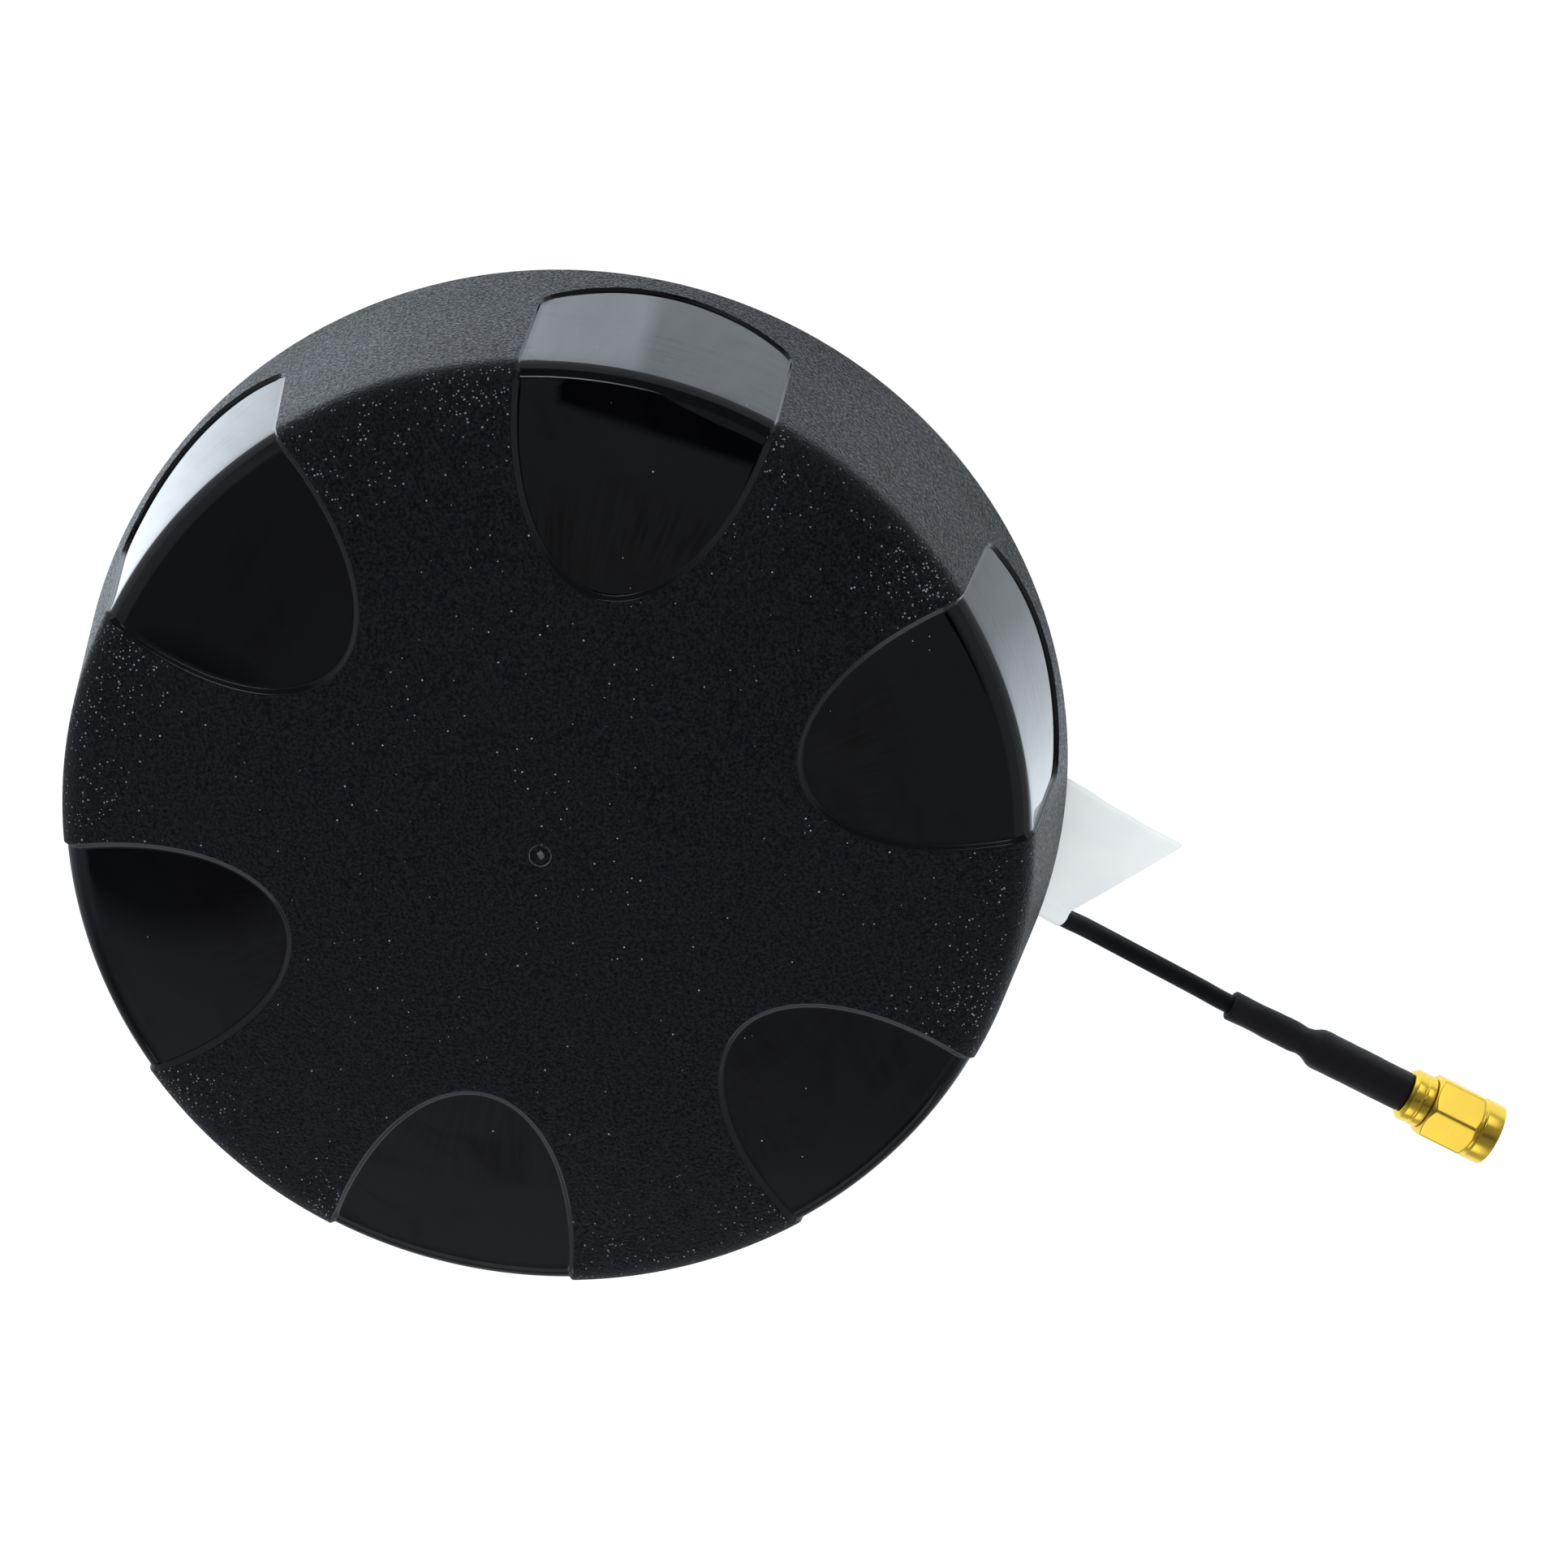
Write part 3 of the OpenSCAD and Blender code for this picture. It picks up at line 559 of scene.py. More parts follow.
def ray_across(edge, inner, outer):
    """Stations (s, angle, depth) from the window's middle line over its edge to the sector's border."""
    s, a, out = edge
    r = skin(s)[0]
    wide = 1 - NARROWER * on_wall(s)
    steps = [(-0.8, 1)] + [(d * wide, part) for d, part in STEP] + [(0.6, 0)]
    rings = [(s + d * out.x, a + d * out.y / r, deep(s) * part) for d, part in steps]
    length = hypot(rings[0][0] - inner[0], r * (rings[0][1] - inner[1]))
    near = min(2.4, length / 2)
    done = []
    for i in range(INNER):
        half = INNER // 2
        far = near * i / half if i <= half else near + (length - near) * ((i - half) / half) ** 1.3
        t = far / length
        here = inner[0] + (rings[0][0] - inner[0]) * t
        done.append((here, inner[1] + (rings[0][1] - inner[1]) * t, deep(here)))
    done += rings
    for i in range(1, OUTER + 1):
        t = (i / OUTER) ** 1.4
        last = rings[-1]
        done.append((last[0] + (outer[0] - last[0]) * t, last[1] + (outer[1] - last[1]) * t, 0))
    return done


def tongue_border(points):
    """Where the rays of the tongue side end: on the next sector's border, then on the inner circle."""
    s_turn, s_level = 40.0, 50.0
    last = min(range(len(points)), key=lambda k: abs(points[k][0] - s_turn))
    turn_s, turn_u = points[last][0], skin(points[last][0])[0] * sin(points[last][1])
    done = []
    for k, (s, a, _) in enumerate(points):
        if k <= last:
            share = (s - turn_s) / (s_level - turn_s)
            done.append((s if s > s_level else S_IN + share * (s_level - S_IN), pi / 6))
        else:
            done.append((S_IN, pi / 6 * skin(s)[0] * sin(a) / turn_u))
    return done


def foot_border(points, s_corner):
    """Where the rays of the foot side end: on the next sector's border, then on the lower edge."""
    s_turn = s_corner + 3.4
    last = min(range(len(points)), key=lambda k: abs(points[k][0] - s_turn) + (100 if k < 5 else 0))
    turn_s, turn_u = points[last][0], points[last][1]
    done = []
    for k, (s, a, _) in enumerate(points):
        if k <= last:
            share = max(0.0, (s - s_corner) / (turn_s - s_corner))
            done.append((s + share * (S_FOOT - turn_s), pi / 6))
        else:
            done.append((S_FOOT, pi / 6 * a / turn_u))
    return done


def dome_point(s, angle, depth):
    """The place of a point of the skin, in millimetres."""
    r, z = skin(s, depth)
    return (r * cos(angle), r * sin(angle), z + RING_Z)


def add_rays(rays, azimuth, vertices, faces, kinds):
    """Quads between neighbouring rays, each with its material's place."""
    start = len(vertices)
    for ray in rays:
        vertices += [dome_point(s, a + azimuth, d) for s, a, d in ray]
    width = len(rays[0])
    for i in range(len(rays) - 1):
        for k in range(width - 1):
            a, b = start + i * width + k, start + (i + 1) * width + k
            faces.append((a, a + 1, b + 1, b))
            kinds.append(POLISH if k < LEDGE_START else LEDGE if k < LEDGE_END else SKIN)


def add_rings(rings, angles, vertices, faces, kinds, cap, scuffed=None):
    """Rings of (radius, height) round the axis at the given angles, closed by a point at the end.
    Rings within the scuffed range of radii take the scuffed material."""
    start, count = len(vertices), len(angles)
    for r, z in rings:
        vertices += [(r * cos(a), r * sin(a), z) for a in angles]
    new = grid_faces(len(rings), count, start)
    vertices.append((0, 0, cap))
    last = start + (len(rings) - 1) * count
    new += [(last + k, last + (k + 1) % count, len(vertices) - 1) for k in range(count)]
    faces += new
    low, high = scuffed or (1, 0)
    for face in new:
        r, _ = rings[(face[0] - start) // count]
        kinds.append(SCUFF if low < r < high else SKIN)


def around(border, s_at):
    """The angles, all round, of the rays that end on the circle at s_at."""
    mine = [a for s, a in border if abs(s - s_at) < 1e-6]
    mine = sorted(set([round(a, 9) for a in mine] + [round(-a, 9) for a in mine]))
    return [a + radians(WINDOW_AZ) + 2 * pi / WINDOWS * w for w in range(WINDOWS) for a in mine[:-1]]


def crown_rings():
    """The middle of the crown with the gate's ring groove."""
    top = [(s, 0.0) for s in (S_IN, 15, 12, 9, 6, 4, 2.8, 2.0, 1.6, GATE_R + 0.05)]
    top += [(GATE_R, 0.02), (GATE_R - 0.04, 0.1), (GATE_R - 0.1, 0.14), (GATE_R - 0.2, GATE_DEPTH),
            (GATE_IN + 0.15, GATE_DEPTH), (GATE_IN + 0.05, 0.12), (GATE_IN, 0.04),
            (GATE_IN - 0.06, 0.0), (0.3, 0.0)]
    return [dome_point(s, 0, depth)[::2] for s, depth in top]


def inner_rings():
    """The rolled rim, the lip's seat and the inner wall."""
    turns = [pi / 2 * k / 8 for k in range(9)]
    bottom = RING_Z - RIM_DROP
    rings = [(RIM_R - RIM_DROP + RIM_DROP * cos(a), RING_Z - RIM_DROP * sin(a)) for a in turns]
    rings += [(LIP_R + 0.25, bottom), (LIP_R + 0.07, bottom + 0.07), (LIP_R, bottom + 0.25),
              (LIP_R, RING_Z + LIP_UP)]
    inner = [S_FOOT - LIP_UP / cos(DRAFT), S_ROUND]
    inner += [S_ROUND + (S_CROWN - S_ROUND) * k / 5 for k in range(1, 6)]
    inner += [S_CROWN * k / 8 for k in range(7, 0, -1)]
    return rings + [dome_point(s, 0, WALL_T)[::2] for s in inner]


def make_radome():
    """The radome's shell: textured skin, six polished windows let into it, rolled rim and inner wall."""
    tongue_curve, foot_curve, s_corner = half_outline()
    tongue = resampled(tongue_curve, 44, -1)
    foot = resampled(foot_curve, 44, 1)
    tongue_out, foot_out = tongue_border(tongue), foot_border(foot, s_corner)
    vertices, faces, kinds = [], [], []
    middle = [(S_MID, 0.7 * p[1] * skin(p[0])[0] / skin(S_MID)[0]) for p in tongue]
    for w in range(WINDOWS):
        azimuth = radians(WINDOW_AZ) + 2 * pi / WINDOWS * w
        for edge, border in ((tongue, tongue_out), (foot, foot_out)):
            right = [ray_across(e, m, b) for e, m, b in zip(edge, middle, border)]
            left = [[(s, -a, d) for s, a, d in ray] for ray in right[-2::-1]]
            add_rays(right + left, azimuth, vertices, faces, kinds)

    top_z = RING_Z + SHOULDER_RISE + CROWN_RISE
    torn = (GATE_R - 0.08, GATE_R + 0.02)
    add_rings(crown_rings(), around(tongue_out, S_IN), vertices, faces, kinds, top_z, torn)
    add_rings(inner_rings(), around(foot_out, S_FOOT), vertices, faces, kinds, top_z - WALL_T)
    return new_piece("radome_shell", vertices, faces, "radome", kinds)


PIP_R, PIP_STRETCH = 0.42, (1.15, 0.8, 0.3)


def make_gate_pip(carrier):
    """The torn stub that the mould's gate leaves in the middle of its ring."""
    where = place(POINTS["gate_mark"], carrier)
    bm = bmesh.new()
    bmesh.ops.create_icosphere(bm, subdivisions=3, radius=PIP_R)
    bm.verts.index_update()
    vertices = []
    for v in bm.verts:
        rough = 1 + 0.55 * noise.noise(v.co * 2.6) + 0.3 * noise.noise(v.co * 6.0)
        vertices.append(v.co * Vector(PIP_STRETCH) * rough + where / MM)
    faces = [[v.index for v in face.verts] for face in bm.faces]
    bm.free()
    return new_piece("gate_pip", vertices, faces)


# ------------ boss
def make_boss():
    """The pole boss, with a seam round its foot, the insert's seat and the chamber above it."""
    seat_r, seat_z, seam_r = INSERT_R + 0.05, THREAD_L + 0.05, BOSS_R - 0.3
    outline = [(0, seat_z), (seat_r, seat_z), (seat_r, 0), (BOSS_R - 1, 0), (BOSS_R, 1),
               (BOSS_R, 4.2), (seam_r, 4.4), (seam_r, 5.0), (BOSS_R, 5.2), (BOSS_R, BOSS_H),
               (CHAMBER_R, BOSS_H), (CHAMBER_R, CHAMBER_Z), (0, CHAMBER_Z)]
    return lathe("pole_boss", "mount_boss", eased(outline, 0.25), sides=144)


def make_insert():
    """The threaded insert, 5/8 inch with 11 turns an inch."""
    pitch, cut_in, chamfer, end, margin = 25.4 / 11, 1.1, 0.7, 0.8, 0.9
    turns = int(THREAD_L / pitch * 10)
    run = THREAD_L - 2 * margin
    thread = [(THREAD_R, THREAD_L - margin - run * k / turns) for k in range(turns + 1)]
    outer = eased([(THREAD_R, chamfer), (THREAD_R + chamfer, 0), (INSERT_R, 0), (INSERT_R, THREAD_L),
                   (THREAD_R + chamfer, THREAD_L), (THREAD_R, THREAD_L - chamfer)], 0.12)

    def cut(angle, radius, z):
        if abs(radius - THREAD_R) > 1e-6 or not end < z < THREAD_L - end:
            return radius
        return radius - cut_in * thread_depth(angle, z, pitch, end, THREAD_L - end, 1.2, 0.85)

    return lathe("brass_insert", "thread_insert", outer + thread, sides=120, reach=cut)


# ------------ material helpers
class Graph:
    """A node tree with short calls for what materials, world and floor share."""

    def __init__(self, owner, coordinates):
        owner.use_nodes = True
        self.tree = owner.node_tree
        self.where = self.add("TexCoord").outputs[coordinates]

    def feed(self, node, inputs):
        """Link or set a node's inputs, given by their names or numbers."""
        for key, value in inputs.items():
            if isinstance(value, bpy.types.NodeSocket):
                self.tree.links.new(value, node.inputs[key])
            else:
                node.inputs[key].default_value = value

    def add(self, kind, inputs=None, **settings):
        node = self.tree.nodes.new("ShaderNode" + kind)
        for key, value in settings.items():
            setattr(node, key, value)
        self.feed(node, inputs or {})
        return node

    def vector(self, kind, *values):
        node = self.add("VectorMath", dict(enumerate(values)), operation=kind)
        return node.outputs["Value" if kind in ("DOT_PRODUCT", "LENGTH") else "Vector"]

    def toward(self, way):
        """How far a place or a direction lies along a way."""
        return self.vector("DOT_PRODUCT", self.where, way)

    def split(self, vector):
        return self.add("SeparateXYZ", {0: vector}).outputs

    def stretched(self, scale):
        return self.add("Mapping", {"Vector": self.where, "Scale": scale}).outputs["Vector"]

    def noise(self, scale, detail=3.0, rough=0.55, vector=None, distortion=0.0):
        inputs = {"Vector": vector or self.where, "Scale": scale, "Detail": detail,
                  "Roughness": rough, "Distortion": distortion}
        return self.add("TexNoise", inputs).outputs["Fac"]

    def cells(self, scale, feature="F1"):
        return self.add("TexVoronoi", {"Vector": self.where, "Scale": scale}, feature=feature).outputs

    def math(self, kind, a, b=0.0):
        return self.add("Math", {0: a, 1: b}, operation=kind).outputs[0]

    def times(self, product, *others):
        for other in others:
            product = self.math("MULTIPLY", product, other)
        return product

    def plus(self, a, b):
        return self.math("ADD", a, b)

    def minus(self, a, b):
        return self.math("SUBTRACT", a, b)

    def span(self, fac, low, high, start=0.0, end=1.0):
        """Low to high while the factor, or how far a place lies along a way, runs from start to end."""
        inputs = {"Value": self.toward(fac) if isinstance(fac, tuple) else fac,
                  "From Min": start, "From Max": end, "To Min": low, "To Max": high}
        return self.add("MapRange", inputs).outputs["Result"]

    def ramp(self, fac, stops):
        """A ramp with stops of (place, grey level or colour)."""
        node = self.add("ValToRGB", {"Fac": fac})
        ramp = node.color_ramp
        while len(ramp.elements) < len(stops):
            ramp.elements.new(0.5)
        for element, (at, colour) in zip(ramp.elements, stops):
            element.position = at
            element.color = (*colour, 1) if isinstance(colour, tuple) else (colour,) * 3 + (1,)
        return node.outputs["Color"]

    def mix(self, fac, a, b):
        """A mix of two colours."""
        a, b = [(*colour, 1) if isinstance(colour, tuple) else colour for colour in (a, b)]
        return self.add("Mix", {0: fac, 6: a, 7: b}, data_type="RGBA").outputs[2]

    def blend(self, fac, first, second):
        """A mix of the shaders that two nodes give."""
        return self.add("MixShader", {0: fac, 1: first.outputs[0], 2: second.outputs[0]})


class Kit(Graph):
    """One material's nodes."""

    def __init__(self, name, rough, metal=0.0):
        self.made = bpy.data.materials.new(name)
        super().__init__(self.made, "Object")
        self.put({"Roughness": rough, "Metallic": metal})

    def put(self, inputs):
        self.feed(self.tree.nodes["Principled BSDF"], inputs)

    def shine(self, source):
        self.put({"Specular IOR Level": source})

    def colour(self, source):
        self.put({"Base Color": source})

    def rough(self, source):
        self.put({"Roughness": source})

    def bump(self, height, distance, strength=1.0, **under):
        """The normal that a height gives, on top of another Normal if there is one."""
        inputs = {"Height": height, "Distance": distance, "Strength": strength, **under}
        return self.add("Bump", inputs).outputs["Normal"]

    def relief(self, *height, **under):
        self.put({"Normal": self.bump(*height, **under)})


def plain(name, dark, light, rough, metal=0.0, drift=60.0, grain=2500.0, depth=0.00001,
          spread=0.08, gloss=0.5):
    """A surface whose colour drifts between two tones, with a fine grain and an uneven sheen."""
    kit = Kit(name, rough, metal)
    kit.shine(gloss)
    tone = kit.noise(drift, 4.0)
    kit.colour(kit.ramp(tone, [(0.3, dark), (0.7, light)]))
    kit.rough(kit.span(kit.noise(drift * 3, 3.0), max(0.02, rough - spread), rough + spread, 0.3, 0.7))
    kit.relief(kit.noise(grain, 3.0), depth)
    return kit


# ------------ materials
# Heights and radii are the object's own: the ring is 29 mm up, the shoulder 59.4, the crown's middle 63.6
def dust_specks(kit, scale, size, share):
    """A mask of small bright specks of dust, one in some of the cells; share may be a mask too."""
    out = kit.cells(scale)
    draw = kit.split(out["Color"])
    chosen = kit.math("LESS_THAN", draw[0], share)
    limit = kit.times(kit.plus(draw[1], 0.35), size)
    return kit.times(chosen, kit.math("LESS_THAN", out["Distance"], limit))


def off_axis(kit):
    """The distance from the radome's axis."""
    return kit.vector("LENGTH", kit.vector("MULTIPLY", kit.where, (1.0, 1.0, 0.0)))


def round_axis(kit):
    """The angle round the radome's axis."""
    x, y, _ = kit.split(kit.where)
    return kit.math("ARCTAN2", y, x)


def shoulder_mask(kit):
    """1 on the crown just inside the shoulder, most of all beside the windows' corners, falling off
    towards the middle and down the wall."""
    turn = kit.minus(round_axis(kit), radians(WINDOW_AZ))
    wave = kit.math("COSINE", kit.times(turn, WINDOWS))
    beside = kit.span(kit.math("ABSOLUTE", kit.plus(wave, 0.3)), 1.0, 0.35, 0.15, 0.7)
    r = off_axis(kit)
    rise = kit.math("POWER", kit.span(r, 0.05, 1.0, 42 * MM, 53 * MM), 2.0)
    fall = kit.span(r, 1.0, 0.05, 55.6 * MM, 56.4 * MM)
    patches = kit.span(kit.noise(90.0, 2.0), 0.25, 1.5, 0.4, 0.62)
    return kit.times(rise, fall, patches, beside)


def skin_material():
    """Spark-eroded black plastic with dust in its grain."""
    kit = Kit("radome_skin", 0.44)
    kit.put({"IOR": 1.5})
    height = kit.split(kit.where)[2]
    fine = kit.noise(2900.0, 2.0, 0.6)
    shine = kit.math("MINIMUM", kit.span(height, 0.43, 0.58, 34 * MM, 44 * MM),
                     kit.span(height, 0.58, 0.15, 54.5 * MM, 60 * MM))
    uneven = kit.times(kit.minus(fine, 0.5), kit.span(height, -1.9, 2.4, 55 * MM, 58 * MM))
    kit.shine(kit.times(shine, kit.plus(1.0, uneven)))
    coarse = kit.noise(1300.0, 2.0, 0.5)
    body = kit.ramp(kit.noise(35.0, 4.0), [(0.3, (0.0014, 0.0018, 0.0032)), (0.7, (0.0024, 0.0028, 0.0046))])
    grain = kit.ramp(fine, [(0.4, 0.0), (0.5, 0.35), (0.62, 1.0)])
    body = kit.mix(grain, body, (0.0050, 0.0055, 0.0078))
    thick = dust_specks(kit, 2900.0, 0.27, kit.times(shoulder_mask(kit), 0.55))
    thin = dust_specks(kit, 900.0, 0.075, kit.span(kit.noise(38.0, 3.0), 0.1, 0.95, 0.42, 0.6))
    body = kit.mix(thick, body, (0.125, 0.134, 0.146))
    kit.colour(kit.mix(thin, body, (0.21, 0.225, 0.24)))
    kit.rough(kit.span(fine, 0.3, 0.58, 0.38, 0.62))
    relief = kit.span(height, 1.0, 0.3, 55 * MM, 60 * MM)
    low = kit.bump(coarse, 0.00020, relief)
    kit.relief(fine, 0.0015, relief, Normal=low)
    return kit


def finger_marks(kit):
    """Grease left near the windows' tips: blotches combed into fine streaks that run outwards. The
    window that faces the camera has most of it."""
    r = off_axis(kit)
    sheet = kit.add("CombineXYZ", {"X": kit.times(round_axis(kit), 15.0), "Y": kit.times(r, 30.0)})
    streaks = kit.noise(4.6, 2.0, 0.5, sheet.outputs[0])
    near = kit.times(kit.span(r, 0, 1, 29 * MM, 33 * MM), kit.span(r, 1, 0, 38 * MM, 45 * MM))
    thumb = kit.span((0.819, -0.574, 0.0), 0.22, 1.0, 20 * MM, 29 * MM)
    blotch = kit.span(kit.noise(48.0, 2.0), 0.15, 1.0, 0.34, 0.5)
    return kit.times(near, thumb, blotch, kit.span(streaks, 0, 1, 0.42, 0.56))


def window_material():
    """The polished windows: the same plastic, mirror smooth, with faint smears and finger marks; a painted
    shade weakens their reflection where they fold over the shoulder on the side away from the camera."""
    kit = Kit("radome_polish", 0.06)
    kit.put({"IOR": 1.5})
    smear = kit.noise(42.0, 5.0, 0.6, kit.stretched((1.0, 2.6, 1.0)), 1.2)
    lines = kit.noise(70.0, 3.0, 0.6, kit.stretched((0.5, 0.5, 14.0)), 0.4)
    marks = finger_marks(kit)
    clean = kit.ramp(smear, [(0.35, (0.0008, 0.0009, 0.0014)), (0.75, (0.0014, 0.0014, 0.0018))])
    specks = dust_specks(kit, 600.0, 0.05, 0.12)
    kit.colour(kit.mix(specks, kit.mix(marks, clean, (0.0034, 0.0025, 0.0014)), (0.22, 0.23, 0.24)))
    kit.rough(kit.plus(kit.span(smear, 0.01, 0.035, 0.42, 0.72), kit.times(marks, 0.2)))
    wiped = kit.times(kit.span(lines, 0, 1, 0.46, 0.6), kit.span(smear, 0, 1, 0.44, 0.58))
    worn = kit.times(kit.plus(0.525, kit.times(wiped, -0.13)), kit.span(marks, 1.0, 0.3))
    height = kit.split(kit.where)[2]
    # painted shade: on the fold over the shoulder, on the side away from the camera, the shine is cut so the
    # reflection there is dimmer
    fold = kit.times(kit.span(height, 0, 1, 55 * MM, 56.5 * MM),
                     kit.span(height, 1, 0, 59.0 * MM, 59.28 * MM))
    far = kit.span((-0.899, 0.438, 0.0), 0.0, 0.8, 8 * MM, 26 * MM)
    kit.shine(kit.times(worn, kit.minus(1.0, kit.times(fold, far))))
    kit.relief(kit.noise(60.0, 2.0), 0.000001)
    return kit


def gold_material():
    """Gold plate over turned brass."""
    kit = Kit("gold_plate", 0.27, 1.0)
    tone = kit.noise(180.0, 3.0)
    kit.colour(kit.ramp(tone, [(0.3, (0.98, 0.655, 0.075)), (0.7, (1.0, 0.72, 0.105))]))
    lines = kit.noise(3200.0, 2.0, 0.5, kit.stretched((0.2, 0.2, 1.0)))
    kit.rough(kit.span(tone, 0.23, 0.33, 0.3, 0.7))
    kit.relief(lines, 0.000004)
    return kit


def label_material():
    """White polyester label film with a soft sheen."""
    kit = Kit("label_film", 0.5)
    mottle = kit.noise(120.0, 5.0)
    kit.colour(kit.ramp(mottle, [(0.3, (0.80, 0.83, 0.85)), (0.7, (0.85, 0.875, 0.89))]))
    kit.rough(kit.span(mottle, 0.44, 0.58, 0.3, 0.7))
    kit.put({"IOR": 1.35})
    kit.relief(kit.noise(1400.0, 2.0), 0.000004)
    return kit


def base_material():
    """Die-cast plate with black powder coat."""
    kit = plain("powder_coat", (0.010, 0.010, 0.011), (0.017, 0.017, 0.018), 0.52, drift=50.0)
    kit.relief(kit.cells(1500.0, "SMOOTH_F1")["Distance"], 0.00008, 0.8)
    return kit


def boss_material():
    """Black anodised aluminium with turning marks round its axis."""
    kit = plain("anodised", (0.014, 0.014, 0.016), (0.024, 0.024, 0.026), 0.36, 0.6, drift=70.0)
    lines = kit.noise(1.0, 2.0, 0.5, kit.stretched((120.0, 120.0, 5200.0)))
    kit.relief(lines, 0.000012)
    return kit


def board_material():
    """Green solder mask over tracks."""
    kit = Kit("solder_mask", 0.35)
    lines = kit.ramp(kit.cells(260.0)["Distance"], [(0.25, 0.0), (0.45, 1.0)])
    kit.colour(kit.mix(lines, (0.010, 0.085, 0.035), (0.022, 0.150, 0.060)))
    kit.put({"Coat Weight": 0.3})
    kit.relief(lines, 0.00001)
    return kit


def foam_material():
    """Dark foam with fine pores."""
    kit = plain("foam", (0.035, 0.035, 0.038), (0.085, 0.085, 0.09), 0.9, drift=900.0)
    kit.relief(kit.cells(1600.0)["Distance"], 0.0002)
    return kit


def brass():
    """Turned brass."""
    return plain("brass", (0.55, 0.38, 0.13), (0.72, 0.52, 0.22), 0.3, 1.0, drift=160.0, grain=1800.0)


def rubber(name, dark, light):
    """A dull, finely grained rubber."""
    return plain(name, dark, light, 0.6, drift=110.0, grain=1600.0, depth=0.00002)


def foil_material():
    """Silvery foil with tiny grain."""
    kit = plain("foil", (0.66, 0.67, 0.69), (0.78, 0.79, 0.80), 0.3, 1.0, drift=300.0)
    kit.relief(kit.noise(1.0, 2.0, 0.5, kit.stretched((300.0, 9000.0, 300.0))), 0.000004)
    return kit


def make_materials():
    """One material for each slot, and the radome's further ones."""
    kits = {
        "radome": skin_material(),
        "polish": window_material(),
        # the sloping steps round the windows, smoother than the skin
        "ledge": plain("radome_ledge", (0.0007, 0.0008, 0.0014), (0.0014, 0.0015, 0.0022), 0.17,
                       drift=80.0, depth=0.000002, spread=0.04),
        # where the mould's gate was broken off: the same plastic, torn and pale
        "scuff": plain("gate_scuff", (0.026, 0.027, 0.031), (0.090, 0.093, 0.10), 0.6,
                       drift=1800.0, grain=5000.0, depth=0.0002),
        "gold": gold_material(),
        # the cable's matt extruded jacket
        "jacket": plain("coax_jacket", (0.0006, 0.0007, 0.0017), (0.0016, 0.0017, 0.0031), 0.5,
                        drift=90.0, grain=1500.0, gloss=0.28),
        # polyolefin heat shrink: satin, warm black, with fine drawn wrinkles
        "sleeve": plain("heat_shrink", (0.0028, 0.0021, 0.0028), (0.0050, 0.0039, 0.0046), 0.58,
                        drift=120.0, grain=2200.0, depth=0.00002, gloss=0.33),
        "label": label_material(),
        "base": base_material(),
        "boss": boss_material(),
        "board": board_material(),
        "foam": foam_material(),
        "ceramic": plain("ceramic", (0.62, 0.54, 0.43), (0.76, 0.69, 0.58), 0.55,
                         drift=220.0, grain=3500.0),
        "steel": plain("steel", (0.50, 0.50, 0.51), (0.64, 0.64, 0.66), 0.28, 1.0, drift=150.0),
        "insert": brass(),
        "brass": brass(),
        "seal": rubber("seal", (0.16, 0.03, 0.02), (0.24, 0.05, 0.035)),
        "boot": rubber("boot", (0.007, 0.007, 0.007), (0.014, 0.014, 0.014)),
        "gasket": rubber("gasket", (0.42, 0.07, 0.04), (0.55, 0.11, 0.07)),
        "gland": plain("nylon", (0.009, 0.009, 0.010), (0.017, 0.017, 0.018), 0.42,
                       drift=90.0, grain=1300.0, depth=0.00002),
        "vent": plain("vent", (0.02, 0.02, 0.022), (0.035, 0.035, 0.037), 0.5),
        "chip": plain("chip", (0.018, 0.018, 0.02), (0.03, 0.03, 0.032), 0.5),
        "tin": plain("tin", (0.55, 0.56, 0.57), (0.70, 0.71, 0.72), 0.35, 1.0),
        "silver": plain("silver", (0.70, 0.69, 0.67), (0.84, 0.83, 0.81), 0.32, 1.0),
        "insulator": plain("ptfe", (0.78, 0.78, 0.75), (0.86, 0.86, 0.84), 0.45),
        "foil": foil_material(),
    }
    return {slot: kit.made for slot, kit in kits.items()}


SLOT_NODES = {
    "radome": "radome", "seal": "radome_seal boss_seal", "base": "base_plate",
    "steel": "base_screws boss_screws board_screws", "vent": "vent_plug", "foil": "rating_plate",
    "boss": "mount_boss", "insert": "thread_insert", "brass": "board_standoffs feed_pins",
    "board": "main_board", "tin": "shield_can", "chip": "filter_chips",
    "ceramic": "lower_patch upper_patch", "silver": "lower_plate upper_plate", "foam": "foam_pad",
    "gland": "gland_body gland_cap", "boot": "gland_boot", "jacket": "coax_tail coax_cable",
    "label": "flag_label", "sleeve": "cable_sleeve", "insulator": "plug_insulator",
    "gold": "board_jack crimp_ferrule plug_body plug_pin plug_ring plug_nut", "gasket": "plug_gasket",
}


def dress_nodes():
    """Every CAD node takes the material of its slot, those that stand-ins hide too."""
    for slot, names in SLOT_NODES.items():
        for name in names.split():
            NODES[name].data.materials.clear()
            dress(NODES[name], slot)


# ------------ floor, world and lamps
def seen_directly(kit, *kinds):
    """1 for rays of the given kinds."""
    path = kit.add("LightPath")
    total = 0.0
    for kind in kinds:
        total = kit.math("MAXIMUM", total, path.outputs[f"Is {kind} Ray"])
    return total


# Level ways, towards the camera's side of the object and across it
CAMERA_SIDE, ACROSS = (0.899, -0.438, 0.0), (0.438, 0.899, 0.0)


